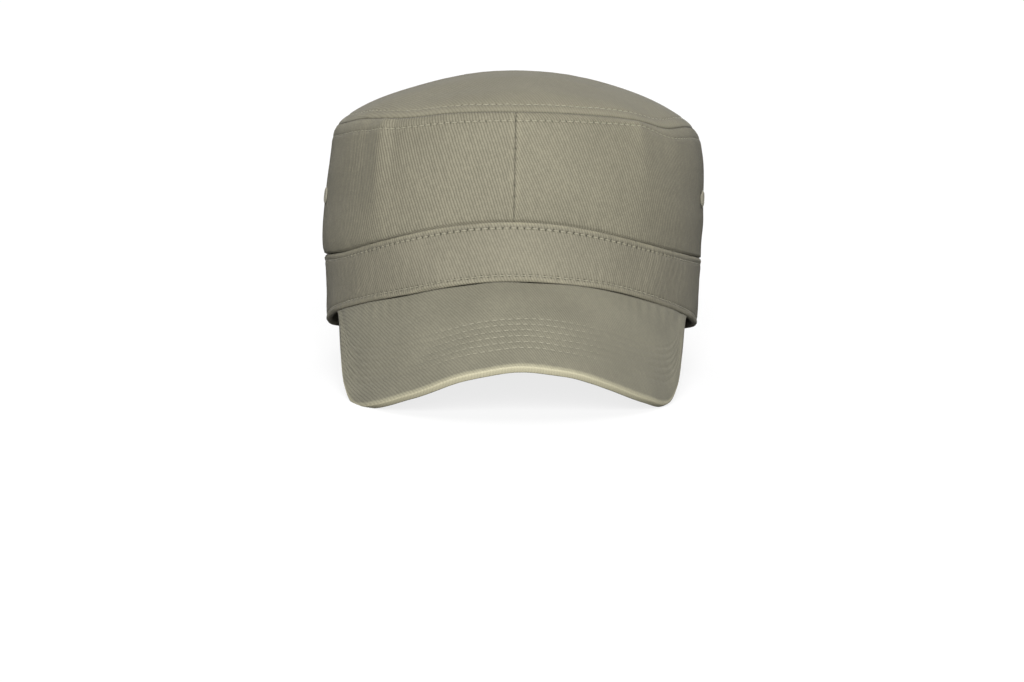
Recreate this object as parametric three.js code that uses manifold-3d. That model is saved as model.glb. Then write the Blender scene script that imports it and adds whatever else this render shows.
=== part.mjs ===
// An army cap of cotton twill, in millimetres, +Z up, with its peak towards -Y, standing on z = 0.
// Left and right are as seen from in front of the peak, so right is +X.
// A domed oval top and two side panels, sewn together at the brow and the nape, form the crown.
// The crown is tucked into a deep band. A curved peak, a board wrapped in cloth, is sewn under the band's front.
// Each side panel has one stitched air eyelet.
// The cap is drawn level, as it is worn, and then tipped back until it rests on the peak's two sides and its nape.
import * as THREE from "three";
import { mergeVertices } from "three/addons/utils/BufferGeometryUtils.js";
import Module from "manifold-3d";

// The head opening, 57 cm round inside the band: an oval, longer from its widest line to the brow than to the nape
const HEAD_HALF_WIDTH = 81;
const HEAD_TO_BROW = 103.5;
const HEAD_TO_NAPE = 96.5;

// Heights at the cap's side, where it is widest
const BAND_HEIGHT = 27.8;
const CROWN_HEIGHT = 58.4;
const TOP_RISE = 25.6;

// How much the band's lower edge is higher at the brow, and lower at the nape, than at the side
const BROW_ARCH = 17.2;
const NAPE_DROP = 11;
const ARCH_POWER = 3.2;

// Cloth
const BAND_WALL = 2.4;
const CROWN_WALL = 1.3;
const TOP_WALL = 1.3;
const SEAM_GAP = 0.3;
const CROWN_TUCK = 9;

// The peak: where its corners meet the band, as an angle from the brow, and how far it goes ahead and down
const PEAK_CORNER_ANGLE = THREE.MathUtils.degToRad(66.5);
const PEAK_LENGTH = 57.6;
const PEAK_DROP = 38.5;
const PEAK_THICKNESS = 3.2;
const PEAK_CORNER_THICKNESS = 1.4;
const PEAK_CORNER_RUN = 0.35;
const PEAK_SWELL = 1;
const PEAK_LAP_MARGIN = 0.8;
const PEAK_SHADOW = 0.5;

// The eyelets, one on each side panel
const EYELET_ANGLE = THREE.MathUtils.degToRad(79);
const EYELET_UP = 0.45;
const EYELET_HOLE = 1.5;
const EYELET_BARREL = 2.3;
const EYELET_RIM = 3.8;
const EYELET_FLANGE = 0.6;

// The band's outside at its lower edge
const OUTER_HALF_WIDTH = HEAD_HALF_WIDTH + BAND_WALL;
const OUTER_TO_BROW = HEAD_TO_BROW + BAND_WALL;
const OUTER_TO_NAPE = HEAD_TO_NAPE + BAND_WALL;

// How much cloth is pressed flat where the cap rests
const REST_FLAT = 0.4;
const REST_STEPS = 20;

// Facets
const AROUND = 64;
const CROWN_LEVELS = [0.045, 0.12, 0.26, 0.42, 0.58, 0.72, 0.83, 0.91, 0.965];
const TOP_RINGS = 8;
const PEAK_COLUMNS = 36;
const EYELET_SIDES = 16;

// The sewn lines that run round the cap, as shares of BROW_ARCH in front and of NAPE_DROP behind
const LINES = {
  bandBottom: { height: 0, tilt: 0.5, arch: 0.5, napeTilt: 1, napeCurve: 0 },
  bandTop: { height: BAND_HEIGHT, tilt: 0.12, arch: 0.75, napeTilt: 0.25, napeCurve: 0.75 },
  topSeam: { height: BAND_HEIGHT + CROWN_HEIGHT, tilt: 0, arch: 0.24, napeTilt: 0, napeCurve: 0 },
};

// Outlines of the outer cloth: shares of the band's half width and of its reach to brow and nape.
// square is 2 for an ellipse, and more where the outline has fuller corners.
const BAND_SECTIONS = [
  { up: 0, side: 1, brow: 1, nape: 1, square: 2 },
  { up: 1, side: 1.01, brow: 0.94, nape: 1.005, square: 2.02 },
];
const CROWN_SECTIONS = [
  { up: 0.015, side: 0.983, brow: 0.919, nape: 0.98, square: 2.02 },
  { up: 0.045, side: 1.014, brow: 0.935, nape: 1.009, square: 2.03 },
  { up: 0.12, side: 1.02, brow: 0.94, nape: 1.017, square: 2.04 },
  { up: 0.3, side: 1.022, brow: 0.939, nape: 1.022, square: 2.06 },
  { up: 0.58, side: 1.015, brow: 0.925, nape: 1.02, square: 2.1 },
  { up: 0.82, side: 1, brow: 0.904, nape: 1.002, square: 2.14 },
  { up: 0.94, side: 0.983, brow: 0.882, nape: 0.981, square: 2.16 },
  { up: 1, side: 0.955, brow: 0.852, nape: 0.95, square: 2.16 },
];

// The dome of the top: most of its fall is a shallow bowl, and the rest is the turn at its edge
const TOP_BOWL = { share: 0.86, power: 2.05 };
const TOP_TURN_POWER = 12;
const TOP_CENTRE = 0.03;
// How far in the top's slope at its seam is taken
const TOP_SEAM_SHARE = 0.9;

// The peak's edge from a corner to its tip: shares of the corners' half width, of the way ahead and of PEAK_DROP
const PEAK_EDGE = [
  { across: 0.992, ahead: 0.06, down: 0.12 },
  { across: 0.975, ahead: 0.27, down: 0.46 },
  { across: 0.937, ahead: 0.44, down: 0.8 },
  { across: 0.862, ahead: 0.585, down: 1 },
  { across: 0.745, ahead: 0.735, down: 0.95 },
  { across: 0.56, ahead: 0.87, down: 0.78 },
  { across: 0.29, ahead: 0.97, down: 0.585 },
  { across: 0, ahead: 1, down: 0.505 },
];
const PEAK_ROWS = [0, 0.12, 0.3, 0.55, 0.8, 1];

const wasm = await Module();
wasm.setup();

// A smooth curve through one column of a table, by the column named as its place
function smooth(rows, column, at, place = "up") {
  const last = rows.length - 1;
  let k = 0;
  while (k < last - 1 && at > rows[k + 1][place]) k += 1;
  const slope = (i) => {
    const before = rows[Math.max(i - 1, 0)];
    const after = rows[Math.min(i + 1, last)];
    return (after[column] - before[column]) / (after[place] - before[place]);
  };
  const from = rows[k];
  const to = rows[k + 1];
  const step = to[place] - from[place];
  const t = (at - from[place]) / step;
  const ease = t * t * (3 - 2 * t);
  const leave = t * (1 - t) * (1 - t) * step * slope(k);
  const arrive = t * t * (1 - t) * step * slope(k + 1);
  return from[column] * (1 - ease) + to[column] * ease + leave - arrive;
}

// Height of a sewn line, where along is -1 at the brow, 0 at the side and 1 at the nape
function lineHeight(line, along) {
  if (along < 0) {
    return line.height + BROW_ARCH * (line.arch * (-along) ** ARCH_POWER - line.tilt * along);
  }
  return line.height - NAPE_DROP * (line.napeTilt * along + line.napeCurve * along * along);
}

// The place of an outline at an angle from the brow: x, y and how far along from brow to nape
function onOutline(section, angle) {
  const power = 2 / section.square;
  const sine = Math.sin(angle);
  const cosine = Math.cos(angle);
  const along = -Math.sign(cosine) * Math.abs(cosine) ** power;
  const x = section.side * OUTER_HALF_WIDTH * Math.sign(sine) * Math.abs(sine) ** power;
  const reach = along < 0 ? section.brow * OUTER_TO_BROW : section.nape * OUTER_TO_NAPE;
  return { x, y: along * reach, along };
}

function sectionAt(rows, up) {
  return {
    side: smooth(rows, "side", up),
    brow: smooth(rows, "brow", up),
    nape: smooth(rows, "nape", up),
    square: smooth(rows, "square", up),
  };
}

// A point of the cloth between two sewn lines
function onWall(rows, low, high, angle, up) {
  const { x, y, along } = onOutline(sectionAt(rows, up), angle);
  const bottom = lineHeight(low, along);
  const top = lineHeight(high, along);
  return new THREE.Vector3(x, y, bottom + up * (top - bottom));
}

const onBand = (angle, up) => onWall(BAND_SECTIONS, LINES.bandBottom, LINES.bandTop, angle, up);
const onCrown = (angle, up) => onWall(CROWN_SECTIONS, LINES.bandTop, LINES.topSeam, angle, up);

// The top: share is 1 at the seam and 0 at the dome's middle
function onTop(angle, share) {
  const seam = onCrown(angle, 1);
  const centre = TOP_CENTRE * OUTER_TO_NAPE;
  const side = LINES.topSeam.height;
  const bowl = TOP_BOWL.share * share ** TOP_BOWL.power;
  const turn = (1 - TOP_BOWL.share) * share ** TOP_TURN_POWER;
  return new THREE.Vector3(
    seam.x * share,
    centre + (seam.y - centre) * share,
    side + (seam.z - side) * share * share + TOP_RISE * (1 - bowl - turn),
  );
}

// The unit normal of a surface, by small steps along its two parameters. Both run so that it points out.
function normalOf(surface, u, v, step = 1e-3) {
  const along = surface(u + step, v).sub(surface(u - step, v));
  const up = surface(u, v + step).sub(surface(u, v - step));
  return along.cross(up).normalize();
}

// A point at a depth inside the surface
const inside = (surface, u, v, depth) =>
  surface(u, v).addScaledVector(normalOf(surface, u, v), -depth);

// A closed geometry from loops of points, one loop for each station, joined in turn.
// A ring joins the last loop to the first. Otherwise each end is capped by pairing the loop's two sides.
function loft(loops, isRing) {
  const count = loops[0].length;
  const positions = loops.flat().flatMap((p) => [p.x, p.y, p.z]);
  const faces = [];
  const stations = isRing ? loops.length : loops.length - 1;
  for (let i = 0; i < stations; i += 1) {
    const here = i * count;
    const next = ((i + 1) % loops.length) * count;
    for (let j = 0; j < count; j += 1) {
      const k = (j + 1) % count;
      faces.push(here + j, next + j, next + k, here + j, next + k, here + k);
    }
  }
  if (!isRing) {
    const end = (loops.length - 1) * count;
    for (let j = 0, k = count - 1; j + 1 < k; j += 1, k -= 1) {
      faces.push(j, j + 1, k, end + j, end + k, end + j + 1);
      if (j + 1 < k - 1) faces.push(j + 1, k - 1, k, end + j + 1, end + k, end + k - 1);
    }
  }
  const geometry = new THREE.BufferGeometry();
  geometry.setAttribute("position", new THREE.Float32BufferAttribute(positions, 3));
  geometry.setIndex(faces);
  return geometry;
}

const turns = (from, to, count) =>
  Array.from({ length: count + 1 }, (_, i) => from + ((to - from) * i) / count);

// The band: a doubled strip of cloth with softened edges
function bandGeometry() {
  const rounding = BAND_WALL / 4;
  const soft = rounding / BAND_HEIGHT;
  const middle = 0.5;
  const loops = turns(0, 2 * Math.PI, AROUND)
    .slice(0, -1)
    .map((angle) => [
      inside(onBand, angle, 0, rounding),
      inside(onBand, angle, soft, 0),
      inside(onBand, angle, middle, 0),
      inside(onBand, angle, 1 - soft, 0),
      inside(onBand, angle, 1, rounding),
      inside(onBand, angle, 1, BAND_WALL),
      inside(onBand, angle, middle, BAND_WALL),
      inside(onBand, angle, 0, BAND_WALL),
    ]);
  return loft(loops, true);
}

// The way from the seam onto the top, square to the cloth's normal there
function overSeam(angle) {
  const normal = normalOf(onCrown, angle, 1 - SEAM_GAP / CROWN_HEIGHT);
  const onward = onTop(angle, TOP_SEAM_SHARE).sub(onTop(angle, 1));
  return { normal, onward: onward.addScaledVector(normal, -onward.dot(normal)).normalize() };
}

// A side panel from the brow's seam to the nape's, tucked into the band, for the right side of the cap
function sidePanelGeometry() {
  const start = SEAM_GAP / 2 / OUTER_HALF_WIDTH;
  const tuck = 1 - CROWN_TUCK / BAND_HEIGHT;
  const hidden = BAND_WALL + SEAM_GAP;
  const first = CROWN_SECTIONS[0].up;
  const angles = turns(start, Math.PI - start, AROUND / 2);
  const loops = angles.map((angle) => {
    const { normal } = overSeam(angle);
    const outer = [inside(onBand, angle, tuck, hidden), inside(onBand, angle, 1, hidden)];
    const inner = [
      inside(onBand, angle, tuck, hidden + CROWN_WALL),
      inside(onBand, angle, 1, hidden + CROWN_WALL),
    ];
    outer.push(onCrown(angle, first));
    CROWN_LEVELS.forEach((up) => {
      outer.push(onCrown(angle, up));
      inner.push(inside(onCrown, angle, up, CROWN_WALL));
    });
    outer.push(onCrown(angle, 1));
    inner.push(onCrown(angle, 1).addScaledVector(normal, -CROWN_WALL));
    return [...outer, ...inner.reverse()];
  });
  return loft(loops, false);
}

// The oval top: rings from its seam to the middle of the dome, outside and inside
function topGeometry() {
  const shares = turns(0, 1, TOP_RINGS).map((t) => 1 - t ** 1.4);
  const angles = turns(0, 2 * Math.PI, AROUND).slice(0, -1);
  const outer = [];
  const inner = [];
  shares.slice(0, -1).forEach((share, ring) => {
    angles.forEach((angle) => {
      if (ring === 0) {
        const { normal, onward } = overSeam(angle);
        const edge = onCrown(angle, 1).addScaledVector(onward, SEAM_GAP);
        outer.push(edge);
        inner.push(edge.clone().addScaledVector(normal, -TOP_WALL));
        return;
      }
      const normal = normalOf((a, s) => onTop(a, 1 - s), angle, 1 - share);
      const point = onTop(angle, share);
      outer.push(point);
      inner.push(point.clone().addScaledVector(normal, -TOP_WALL));
    });
  });
  const middle = onTop(0, 0);
  const points = [...outer, middle, ...inner, middle.clone().setZ(middle.z - TOP_WALL)];
  const back = outer.length + 1;
  const faces = [];
  const rings = shares.length - 2;
  angles.forEach((_, i) => {
    const k = (i + 1) % AROUND;
    for (let ring = 0; ring < rings; ring += 1) {
      const low = ring * AROUND;
      const high = low + AROUND;
      faces.push(low + i, low + k, high + k, low + i, high + k, high + i);
      faces.push(back + low + i, back + high + k, back + low + k);
      faces.push(back + low + i, back + high + i, back + high + k);
    }
    const rim = rings * AROUND;
    faces.push(rim + i, rim + k, outer.length);
    faces.push(back + rim + i, back + outer.length, back + rim + k);
    faces.push(i, back + i, back + k, i, back + k, k);
  });
  const geometry = new THREE.BufferGeometry();
  const positions = points.flatMap((p) => [p.x, p.y, p.z]);
  geometry.setAttribute("position", new THREE.Float32BufferAttribute(positions, 3));
  geometry.setIndex(faces);
  return geometry;
}

// The peak's edge, where turn is 0 at the right corner, 1 at the tip and 2 at the left corner
function onPeakEdge(turn) {
  const corner = onBand(PEAK_CORNER_ANGLE, 0);
  const tip = onBand(0, 0).y - PEAK_LENGTH;
  const half = PEAK_EDGE.length - 1;
  const folded = [...PEAK_EDGE, ...PEAK_EDGE.slice(0, -1).reverse()].map((row, i) => ({
    ...row,
    across: i > half ? -row.across : row.across,
    place: i / half,
  }));
  return new THREE.Vector3(
    corner.x * smooth(folded, "across", turn, "place"),
    corner.y + (tip - corner.y) * smooth(folded, "ahead", turn, "place"),
    corner.z - PEAK_DROP * smooth(folded, "down", turn, "place"),
  );
}

// The angle round the band at which a fold of the peak leaves it
function peakRootAngle(turn) {
  const share = onPeakEdge(turn).x / onPeakEdge(0).x;
  return Math.asin(share * Math.sin(PEAK_CORNER_ANGLE));
}

// The peak's upper cloth, where share is 0 under the band's lower edge and 1 at the peak's own edge
function onPeak(turn, share) {
  const root = onBand(peakRootAngle(turn), 0);
  root.z -= SEAM_GAP + PEAK_SHADOW;
  const point = root.lerp(onPeakEdge(turn), share);
  point.z += PEAK_SWELL * 4 * share * (1 - share);
  return point;
}

// The peak thins out at its two corners, where it runs into the seam
function peakThickness(turn) {
  const fromCorner = Math.min(turn, 2 - turn);
  const full = THREE.MathUtils.smoothstep(fromCorner, 0, PEAK_CORNER_RUN);
  return THREE.MathUtils.lerp(PEAK_CORNER_THICKNESS, PEAK_THICKNESS, full);
}

function peakGeometry() {
  const loops = turns(0, 2, PEAK_COLUMNS).map((turn) => {
    const thickness = peakThickness(turn);
    const safe = THREE.MathUtils.clamp(turn, 0.01, 1.99);
    const normalAt = (share) => normalOf(onPeak, safe, THREE.MathUtils.clamp(share, 0.05, 0.95));
    const upper = PEAK_ROWS.map((share) => onPeak(turn, share));
    const lower = PEAK_ROWS.map((share, i) =>
      upper[i].clone().addScaledVector(normalAt(share), -thickness),
    );
    // The lap that lies under the band
    const lap = inside(onBand, peakRootAngle(turn), 0, BAND_WALL - PEAK_LAP_MARGIN);
    lap.z -= SEAM_GAP;
    const lapLower = lap.clone().addScaledVector(normalAt(0), -thickness);
    const last = PEAK_ROWS.length - 1;
    const outward = upper[last].clone().sub(upper[last - 1]).normalize();
    const edge = upper[last].clone().lerp(lower[last], 0.5);
    edge.addScaledVector(outward, thickness / 4);
    return [lap, ...upper, edge, ...lower.reverse(), lapLower];
  });
  return loft(loops, false);
}

// An eyelet: thread wrapped through the hole, with a rim on each face of the panel. Its axis is +Y.
function eyeletGeometry() {
  const face = CROWN_WALL / 2 + SEAM_GAP;
  const end = face + EYELET_FLANGE;
  const bevel = EYELET_FLANGE / 2;
  const half = [
    [EYELET_BARREL, face],
    [EYELET_RIM, face],
    [EYELET_RIM, face + bevel],
    [EYELET_RIM - bevel, end],
    [EYELET_HOLE, end],
  ];
  const lower = half.map(([r, y]) => [r, -y]).reverse();
  const profile = [...lower, ...half].map(([r, y]) => new THREE.Vector2(r, y));
  return new THREE.LatheGeometry([...profile, profile[0].clone()], EYELET_SIDES);
}

// Where an eyelet sits: its middle in the cloth's thickness, and the way it faces
function eyeletPlace() {
  const facing = normalOf(onCrown, EYELET_ANGLE, EYELET_UP);
  const middle = onCrown(EYELET_ANGLE, EYELET_UP).addScaledVector(facing, -CROWN_WALL / 2);
  const turn = new THREE.Quaternion().setFromUnitVectors(new THREE.Vector3(0, 1, 0), facing);
  return { middle, turn };
}

// three.js geometry to a solid that can be cut, and back
function toSolid(geometry) {
  const bare = geometry.clone();
  bare.deleteAttribute("normal");
  bare.deleteAttribute("uv");
  const merged = mergeVertices(bare, 1e-4);
  return new wasm.Manifold(
    new wasm.Mesh({
      numProp: 3,
      vertProperties: merged.attributes.position.array,
      triVerts: new Uint32Array(merged.index.array),
    }),
  );
}

function toGeometry(solid) {
  const mesh = solid.getMesh();
  const geometry = new THREE.BufferGeometry();
  geometry.setAttribute("position", new THREE.BufferAttribute(mesh.vertProperties, 3));
  geometry.setIndex(new THREE.BufferAttribute(mesh.triVerts, 1));
  return geometry;
}

const cut = (geometry, tool) => toGeometry(toSolid(geometry).subtract(toSolid(tool)));

function withEyeletHole(panel) {
  const { middle, turn } = eyeletPlace();
  const radius = EYELET_BARREL + SEAM_GAP;
  const length = 8 * CROWN_WALL;
  const drill = new THREE.CylinderGeometry(radius, radius, length, EYELET_SIDES);
  drill.applyQuaternion(turn).translate(middle.x, middle.y, middle.z);
  return cut(panel, drill);
}

// The other side's piece, with its faces turned round again so that they point out
function mirrored(geometry) {
  const other = geometry.clone().scale(-1, 1, 1);
  const index = other.index.array;
  for (let i = 0; i < index.length; i += 3) {
    [index[i + 1], index[i + 2]] = [index[i + 2], index[i + 1]];
  }
  return other;
}

// The lowest point of a geometry once it leans back by an angle
function lowest(geometry, lean) {
  const position = geometry.attributes.position;
  const found = new THREE.Vector3(0, 0, Infinity);
  const point = new THREE.Vector3();
  const axis = new THREE.Vector3(1, 0, 0);
  for (let i = 0; i < position.count; i += 1) {
    point.fromBufferAttribute(position, i).applyAxisAngle(axis, -lean);
    if (point.z < found.z) found.copy(point);
  }
  return found;
}

// The lean at which the peak's sides and the nape are equally low
function restingLean(peak, band) {
  let lean = 0;
  for (let i = 0; i < REST_STEPS; i += 1) {
    const front = lowest(peak, lean);
    const back = lowest(band, lean);
    lean += Math.atan2(back.z - front.z, back.y - front.y);
  }
  return lean;
}

// A big block that fills the space under the floor, in the frame of the worn cap
function belowFloor(lean, floor) {
  const size = 8 * OUTER_TO_BROW;
  const block = new THREE.BoxGeometry(size, size, size);
  return block.translate(0, 0, floor - size / 2).rotateX(lean);
}

// Materials
const cloth = (name, color) =>
  new THREE.MeshStandardMaterial({ name, color, roughness: 0.92, metalness: 0 });
const twill = cloth("twill", 0x9b9684);
const bandTwill = cloth("band_twill", 0x98937f);
const peakTwill = cloth("peak_twill", 0x918c79);
const thread = cloth("thread", 0xb4ad92);

function piece(name, geometry, material) {
  const mesh = new THREE.Mesh(geometry, material);
  mesh.name = name;
  return mesh;
}

const bandUncut = bandGeometry();
const peakUncut = peakGeometry();
const lean = restingLean(peakUncut, bandUncut);
const floor = lowest(bandUncut, lean).z + REST_FLAT;
const ground = belowFloor(lean, floor);
const sidePanel = withEyeletHole(sidePanelGeometry());
const { middle: eyeletMiddle, turn: eyeletTurn } = eyeletPlace();

// The cap as it is worn
const worn = new THREE.Group();
worn.add(piece("top_panel", topGeometry(), twill));
worn.add(piece("side_panel_right", sidePanel, twill));
worn.add(piece("side_panel_left", mirrored(sidePanel), twill));
worn.add(piece("band", cut(bandUncut, ground), bandTwill));
worn.add(piece("peak", cut(peakUncut, ground), peakTwill));

const eyeletRight = piece("eyelet_right", eyeletGeometry(), thread);
eyeletRight.position.copy(eyeletMiddle);
eyeletRight.quaternion.copy(eyeletTurn);
const eyeletLeft = piece("eyelet_left", eyeletGeometry(), thread);
eyeletLeft.position.copy(eyeletMiddle).setX(-eyeletMiddle.x);
eyeletLeft.quaternion.set(eyeletTurn.x, -eyeletTurn.y, -eyeletTurn.z, eyeletTurn.w);
worn.add(eyeletRight, eyeletLeft);

// The cap as it rests: leaning back, on the floor, and centred over the origin
worn.rotation.x = -lean;
worn.updateMatrixWorld(true);
const box = new THREE.Box3().setFromObject(worn, true);
worn.position.set(0, -(box.min.y + box.max.y) / 2, -floor);

const cap = new THREE.Group();
cap.add(worn);
cap.updateMatrixWorld(true);

export default cap;
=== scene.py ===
import math

import bpy
import numpy as np
from mathutils import Matrix, Vector


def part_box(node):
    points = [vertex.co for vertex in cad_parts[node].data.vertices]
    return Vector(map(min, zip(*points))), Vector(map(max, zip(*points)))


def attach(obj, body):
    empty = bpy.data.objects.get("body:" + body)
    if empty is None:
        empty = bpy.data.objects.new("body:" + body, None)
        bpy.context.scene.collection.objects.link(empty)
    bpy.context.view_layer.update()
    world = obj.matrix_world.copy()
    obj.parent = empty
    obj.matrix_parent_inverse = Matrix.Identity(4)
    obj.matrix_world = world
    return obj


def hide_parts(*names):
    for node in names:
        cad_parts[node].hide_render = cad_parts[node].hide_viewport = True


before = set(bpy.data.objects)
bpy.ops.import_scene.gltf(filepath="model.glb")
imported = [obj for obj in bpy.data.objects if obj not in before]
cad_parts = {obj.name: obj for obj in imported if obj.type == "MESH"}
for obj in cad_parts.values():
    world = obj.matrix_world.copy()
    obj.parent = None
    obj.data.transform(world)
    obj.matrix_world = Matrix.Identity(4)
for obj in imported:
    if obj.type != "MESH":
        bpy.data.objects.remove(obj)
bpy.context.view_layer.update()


# The camera
# It stands well back in front of the peak with a long lens, a little higher than the cap,
# so that the cap fills the middle of the frame and its near and far parts keep almost one scale.
FRAME_WIDTH = 1024
LENS_PIXELS = 4900
CAMERA_AWAY = 2.2065
CAMERA_UP = math.radians(7.68)
CAMERA_ROLL = math.radians(0.6)
LOOK_AT = Vector((-0.0002, 0.0336, 0.0113))


def add_object(name, data):
    """An object in the scene, from its camera, light or mesh."""
    made = bpy.data.objects.new(name, data)
    bpy.context.scene.collection.objects.link(made)
    return made


camera_data = bpy.data.cameras.new("camera")
camera_data.sensor_width = 36
camera_data.lens = camera_data.sensor_width * LENS_PIXELS / FRAME_WIDTH
camera_data.clip_end = 20
camera = add_object("camera", camera_data)
toward_camera = Vector((0, -math.cos(CAMERA_UP), math.sin(CAMERA_UP)))
camera.location = LOOK_AT + CAMERA_AWAY * toward_camera
facing = (-toward_camera).to_track_quat("-Z", "Y").to_matrix()
camera.rotation_euler = (facing @ Matrix.Rotation(CAMERA_ROLL, 3, "Z")).to_euler()
bpy.context.scene.camera = camera


# The studio
# A wide table under plain soft white light: one broad light in front, two weak ones behind and one overhead.
# The table looks white to the camera but bounces little, so that the cap's sides stay darker than its front.
TABLE_SIZE = 16
TABLE_BOUNCE = (0.2, 0.2, 0.2)
TABLE_GLOW = 0.8
STUDIO_LIGHTS = [
    {"name": "front_light", "right": 0, "up": 19, "spread": 26, "strength": 6.2},
    {"name": "back_light_left", "right": -152, "up": 25, "spread": 40, "strength": 0.7},
    {"name": "back_light_right", "right": 152, "up": 25, "spread": 40, "strength": 0.7},
    {"name": "top_light", "right": 0, "up": 88, "spread": 60, "strength": 1.1},
]
WALL_LIGHT = 0.015


def new_material(name):
    """A material with its node tree and its shader."""
    material = bpy.data.materials.new(name)
    material.use_nodes = True
    return material, material.node_tree, material.node_tree.nodes["Principled BSDF"]


def set_inputs(node, values):
    """Sets inputs of a node by name."""
    for name, value in values.items():
        node.inputs[name].default_value = value


table_mesh = bpy.data.meshes.new("table")
corners = [(x * TABLE_SIZE / 2, y * TABLE_SIZE / 2, 0) for x, y in ((-1, -1), (1, -1), (1, 1), (-1, 1))]
table_mesh.from_pydata(corners, [], [(0, 1, 2, 3)])
table = add_object("table", table_mesh)
table_paint, table_tree, table_shader = new_material("table_paint")
set_inputs(table_shader, {"Base Color": (*TABLE_BOUNCE, 1), "Roughness": 0.9, "Specular IOR Level": 0})
set_inputs(table_shader, {"Emission Color": (1, 1, 1, 1)})
seen_ray = table_tree.nodes.new("ShaderNodeLightPath")
glow = table_tree.nodes.new("ShaderNodeMath")
glow.operation = "MULTIPLY"
glow.inputs[1].default_value = TABLE_GLOW
table_tree.links.new(seen_ray.outputs["Is Camera Ray"], glow.inputs[0])
table_tree.links.new(glow.outputs[0], table_shader.inputs["Emission Strength"])
table_mesh.materials.append(table_paint)

for lamp in STUDIO_LIGHTS:
    light_data = bpy.data.lights.new(lamp["name"], "SUN")
    light_data.energy = lamp["strength"]
    light_data.angle = math.radians(lamp["spread"])
    light = add_object(lamp["name"], light_data)
    right, up = math.radians(lamp["right"]), math.radians(lamp["up"])
    toward_light = Vector((math.sin(right) * math.cos(up), -math.cos(right) * math.cos(up), math.sin(up)))
    light.rotation_euler = toward_light.to_track_quat("Z", "Y").to_euler()

world = bpy.data.worlds.new("white_room")
world.use_nodes = True
set_inputs(world.node_tree.nodes["Background"], {"Color": (1, 1, 1, 1), "Strength": WALL_LIGHT})
bpy.context.scene.world = world
bpy.context.scene.view_settings.view_transform = "Standard"


# The band
# A strip of olive cotton twill, doubled over and sewn round the head opening. All the rest is sewn to it.
# Its lower edge is a fold that rises over the brow, and a row of lockstitch runs close to each edge.
MM = 0.001
HEAD_HALF_WIDTH = 81 * MM
HEAD_TO_BROW = 103.5 * MM
HEAD_TO_NAPE = 96.5 * MM
BAND_HEIGHT = 27.8 * MM
CROWN_HEIGHT = 58.4 * MM
TOP_RISE = 25.6 * MM
BROW_ARCH = 17.2 * MM
NAPE_DROP = 11 * MM
ARCH_POWER = 3.2
BAND_WALL = 2.4 * MM
OUTER_HALF_WIDTH = HEAD_HALF_WIDTH + BAND_WALL
OUTER_TO_BROW = HEAD_TO_BROW + BAND_WALL
OUTER_TO_NAPE = HEAD_TO_NAPE + BAND_WALL
SEWN_LINES = {
    "band_bottom": {"height": 0, "tilt": 0.5, "arch": 0.5, "nape_tilt": 1, "nape_curve": 0},
    "band_top": {"height": BAND_HEIGHT, "tilt": 0.12, "arch": 0.75, "nape_tilt": 0.25, "nape_curve": 0.75},
    "top_seam": {
        "height": BAND_HEIGHT + CROWN_HEIGHT, "tilt": 0, "arch": 0.24, "nape_tilt": 0, "nape_curve": 0,
    },
}
BAND_OUTLINES = [
    {"up": 0, "side": 0.993, "brow": 1, "nape": 1, "square": 2},
    {"up": 1, "side": 1.01, "brow": 0.94, "nape": 1.005, "square": 2.02},
]
CROWN_OUTLINES = [
    {"up": 0.015, "side": 1.01, "brow": 0.933, "nape": 1.005, "square": 2.02},
    {"up": 0.045, "side": 1.017, "brow": 0.938, "nape": 1.013, "square": 2.03},
    {"up": 0.12, "side": 1.02, "brow": 0.94, "nape": 1.017, "square": 2.04},
    {"up": 0.3, "side": 1.022, "brow": 0.939, "nape": 1.022, "square": 2.06},
    {"up": 0.58, "side": 1.015, "brow": 0.925, "nape": 1.02, "square": 2.1},
    {"up": 0.82, "side": 1, "brow": 0.904, "nape": 1.002, "square": 2.14},
    {"up": 0.94, "side": 0.983, "brow": 0.882, "nape": 0.981, "square": 2.16},
    {"up": 1, "side": 0.955, "brow": 0.852, "nape": 0.95, "square": 2.16},
]
# How far the left and the right of this crown stand out past the even shape, in mm
CROWN_FULLER = [
    {"up": 0, "left": 0, "right": -0.3},
    {"up": 0.06, "left": 0.6, "right": -0.9},
    {"up": 0.15, "left": 0.85, "right": -0.9},
    {"up": 0.28, "left": 0.55, "right": -0.25},
    {"up": 0.45, "left": 0, "right": 0.05},
    {"up": 0.6, "left": -0.5, "right": 0.8},
    {"up": 0.74, "left": -0.7, "right": 1.0},
    {"up": 0.87, "left": -0.5, "right": 0.5},
    {"up": 1, "left": 0, "right": 0},
]
FULLER_REACH = 35
LEAN_BACK = math.radians(6.7624)
# Where a sewn line has settled: degrees from the brow, width in degrees, height
SETTLED = {
    "band_bottom": [(-31, 17, -1.1 * MM), (34, 17, 1.0 * MM), (-94, 17, -2.2 * MM), (88, 19, -2.2 * MM)],
    "band_top": [(-64, 12, -0.8 * MM)],
    "top_seam": [(54, 11, -2.2 * MM), (-57, 9, 0.8 * MM), (-33, 10, -0.8 * MM)],
}
ASKEW = 0.008
ASKEW_ABOUT = 67 * MM
BAND_STITCH = 3.1 * MM
BAND_ROW_UP = 2.6 * MM
BAND_ROW_DOWN = 2.7 * MM
BAND_FOLD = 0.8 * MM
COLUMNS_PER_STITCH = 4
THREAD_STANDS = 0.17 * MM
SEWN_THROUGH = 0.2
THREAD_RADIUS = 0.19 * MM


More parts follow.
